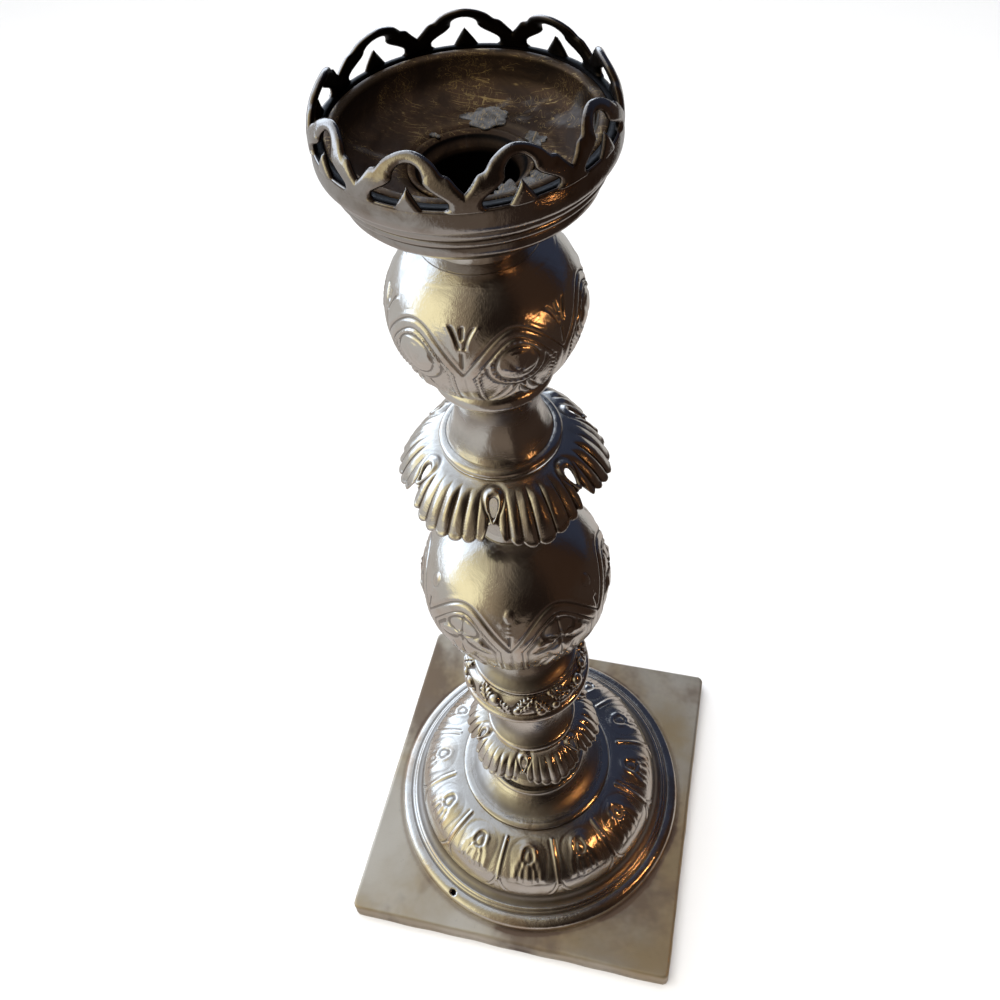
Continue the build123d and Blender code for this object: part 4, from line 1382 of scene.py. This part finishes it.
def reflectionCard(look=cardLook):
    # A card on the floor that only the metal mirrors: pale near the foot, dark cloth in front and brown
    # shade on the right, by distance from the axis and from a slanting line.
    material, wire, shader = newFinish("card")
    place = wire.make("ShaderNodeTexCoord", out="Object")
    ahead, right = aheadRightUp(wire, place)[:2]
    waves = wire.noise(place, 9.0, 3.0)
    reach = ahead + right * 1.2 + (waves - 0.5) * 0.12
    distance = (ahead * ahead + right * right) ** 0.5
    base = distance.step(*look["farFrom"]).colour(look["near"], look["far"])
    side = (right - ahead * 0.9).step(*look["sideFrom"])
    clothEnd = (distance + (waves - 0.5) * 0.1).step(*look["clothTo"])
    cloth = clothEnd.colour(look["cloth"], look["beyond"])
    shade = (right - ahead * 0.30).step(*look["shadeFrom"]).colour(cloth, look["shade"])
    base = reach.step(*look["edge"]).colour(base, side.colour(shade, look["shade"]))
    shader.inputs["Base Color"].default_value = (0, 0, 0, 1)
    shader.inputs["Specular IOR Level"].default_value = 0.0
    wire.feed(shader.inputs["Emission Color"], base)
    shader.inputs["Emission Strength"].default_value = 1.0
    card = sheetAt("reflection_card", look["lift"], material)
    hiddenFromCamera(card)


def warmLamps(look=lampLook):
    # shaded lamps on the right, mirrored as warm spots
    for name in ("high", "low"):
        place, aim, beam, power = look[name]
        data = bpy.data.lights.new("warm_lamp_" + name, "SPOT")
        data.shadow_soft_size = look["size"] / 2
        data.energy = power
        data.color = look["colour"]
        data.spot_size = math.radians(beam)
        data.spot_blend = 0.2
        lamp = bpy.data.objects.new("warm_lamp_" + name, data)
        lamp.location = place
        away = Vector(aim) - Vector(place)
        lamp.rotation_euler = away.to_track_quat("-Z", "Y").to_euler()
        lamp.visible_camera = False
        lamp.visible_diffuse = False
        bpy.context.scene.collection.objects.link(lamp)


def floorAndLight(look=floorLook):
    # a pale sheet under everything, and a wide soft lamp that only brightens it
    material, wire, shader = newFinish("pale_floor")
    place = wire.make("ShaderNodeTexCoord", out="Object")
    clouds = wire.noise(place, 6.0, 3.0)
    base = clouds.colour(look["colour"], tuple(c * 0.97 for c in look["colour"]))
    wire.feed(shader.inputs["Base Color"], base)
    shader.inputs["Roughness"].default_value = 0.9
    shader.inputs["Specular IOR Level"].default_value = 0.1
    sheetAt("floor", 0.0, material)
    data = bpy.data.lights.new("soft_top", "AREA")
    data.shape = "DISK"
    data.size = look["lightSize"]
    data.energy = look["light"]
    lamp = bpy.data.objects.new("soft_top", data)
    lamp.location = look["lightAt"]
    lamp.visible_glossy = False
    lamp.visible_camera = False
    bpy.context.scene.collection.objects.link(lamp)


cameraPlace = {
    "at": (0.06714, -0.20257, 0.46744),
    "turn": (48.131, 3.763, 13.113),  # degrees about X, Y and Z
    "lens": 39.45,
    "shift": (-0.014, -0.189),
}


def cameraAt(place=cameraPlace):
    # the camera, placed by its point, its turn and its lens
    data = bpy.data.cameras.new("camera")
    data.sensor_width = 36.0
    data.lens = place["lens"]
    data.shift_x, data.shift_y = place["shift"]
    data.clip_start = 0.01
    camera = bpy.data.objects.new("camera", data)
    camera.location = place["at"]
    camera.rotation_euler = [math.radians(a) for a in place["turn"]]
    bpy.context.scene.collection.objects.link(camera)
    bpy.context.scene.camera = camera


# everything together
cameraAt()
room()
floorAndLight()
reflectionCard()
warmLamps()
bpy.context.scene.view_settings.view_transform = "Standard"
print("camera, room and floor are in place")

stemSilver = silverFinish("stem_silver")
footSilver = silverFinish("foot_silver", warmth=0.45, tarnish=0.6, rough=0.03)
cupLook = {**silverLook, **cupTone}
cupSilver = silverFinish("cup_silver", warmth=0.9, tarnish=0.8, rough=0.02, look=cupLook)
leafSilver = silverFinish("leaf_silver", warmth=0.5, tarnish=0.9, rough=0.05)
satin = satinFinish("satin_plate")
cupBrass = tarnishedFinish("cup_brass")
basePlate(satin)
footDome(footSilver)
plainTurned(stemSilver)
print("base, foot and plain turned pieces are made")

knop(leafSilver)
globe("lower_globe", stemSilver, lowerRelief, lowerPanels)
globe("upper_globe", stemSilver, upperRelief, upperPanels)
print("knop and globes are made")

leafCollar("lower_leaf_collar", leafSilver, lowerCollar)
leafCollar("upper_leaf_collar", leafSilver, upperCollar)
print("leaf collars are made")

gallery(cupSilver)
cup(cupSilver, cupBrass)
crusts(crustFinish("wax_crust"))
print("cup is made")

steel = steelFinish("turned_steel")
wood = woodFinish("board_wood")
finishOf = {"base_board": wood, "top_ferrule": stemSilver}
for name in ("tie_rod", "top_nut", "top_washer", "base_nut", "base_washer"):
    finishOf[name] = steel
for name, finish in finishOf.items():
    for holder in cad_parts[name].material_slots:
        holder.material = finish
print("inner pieces have their finishes")
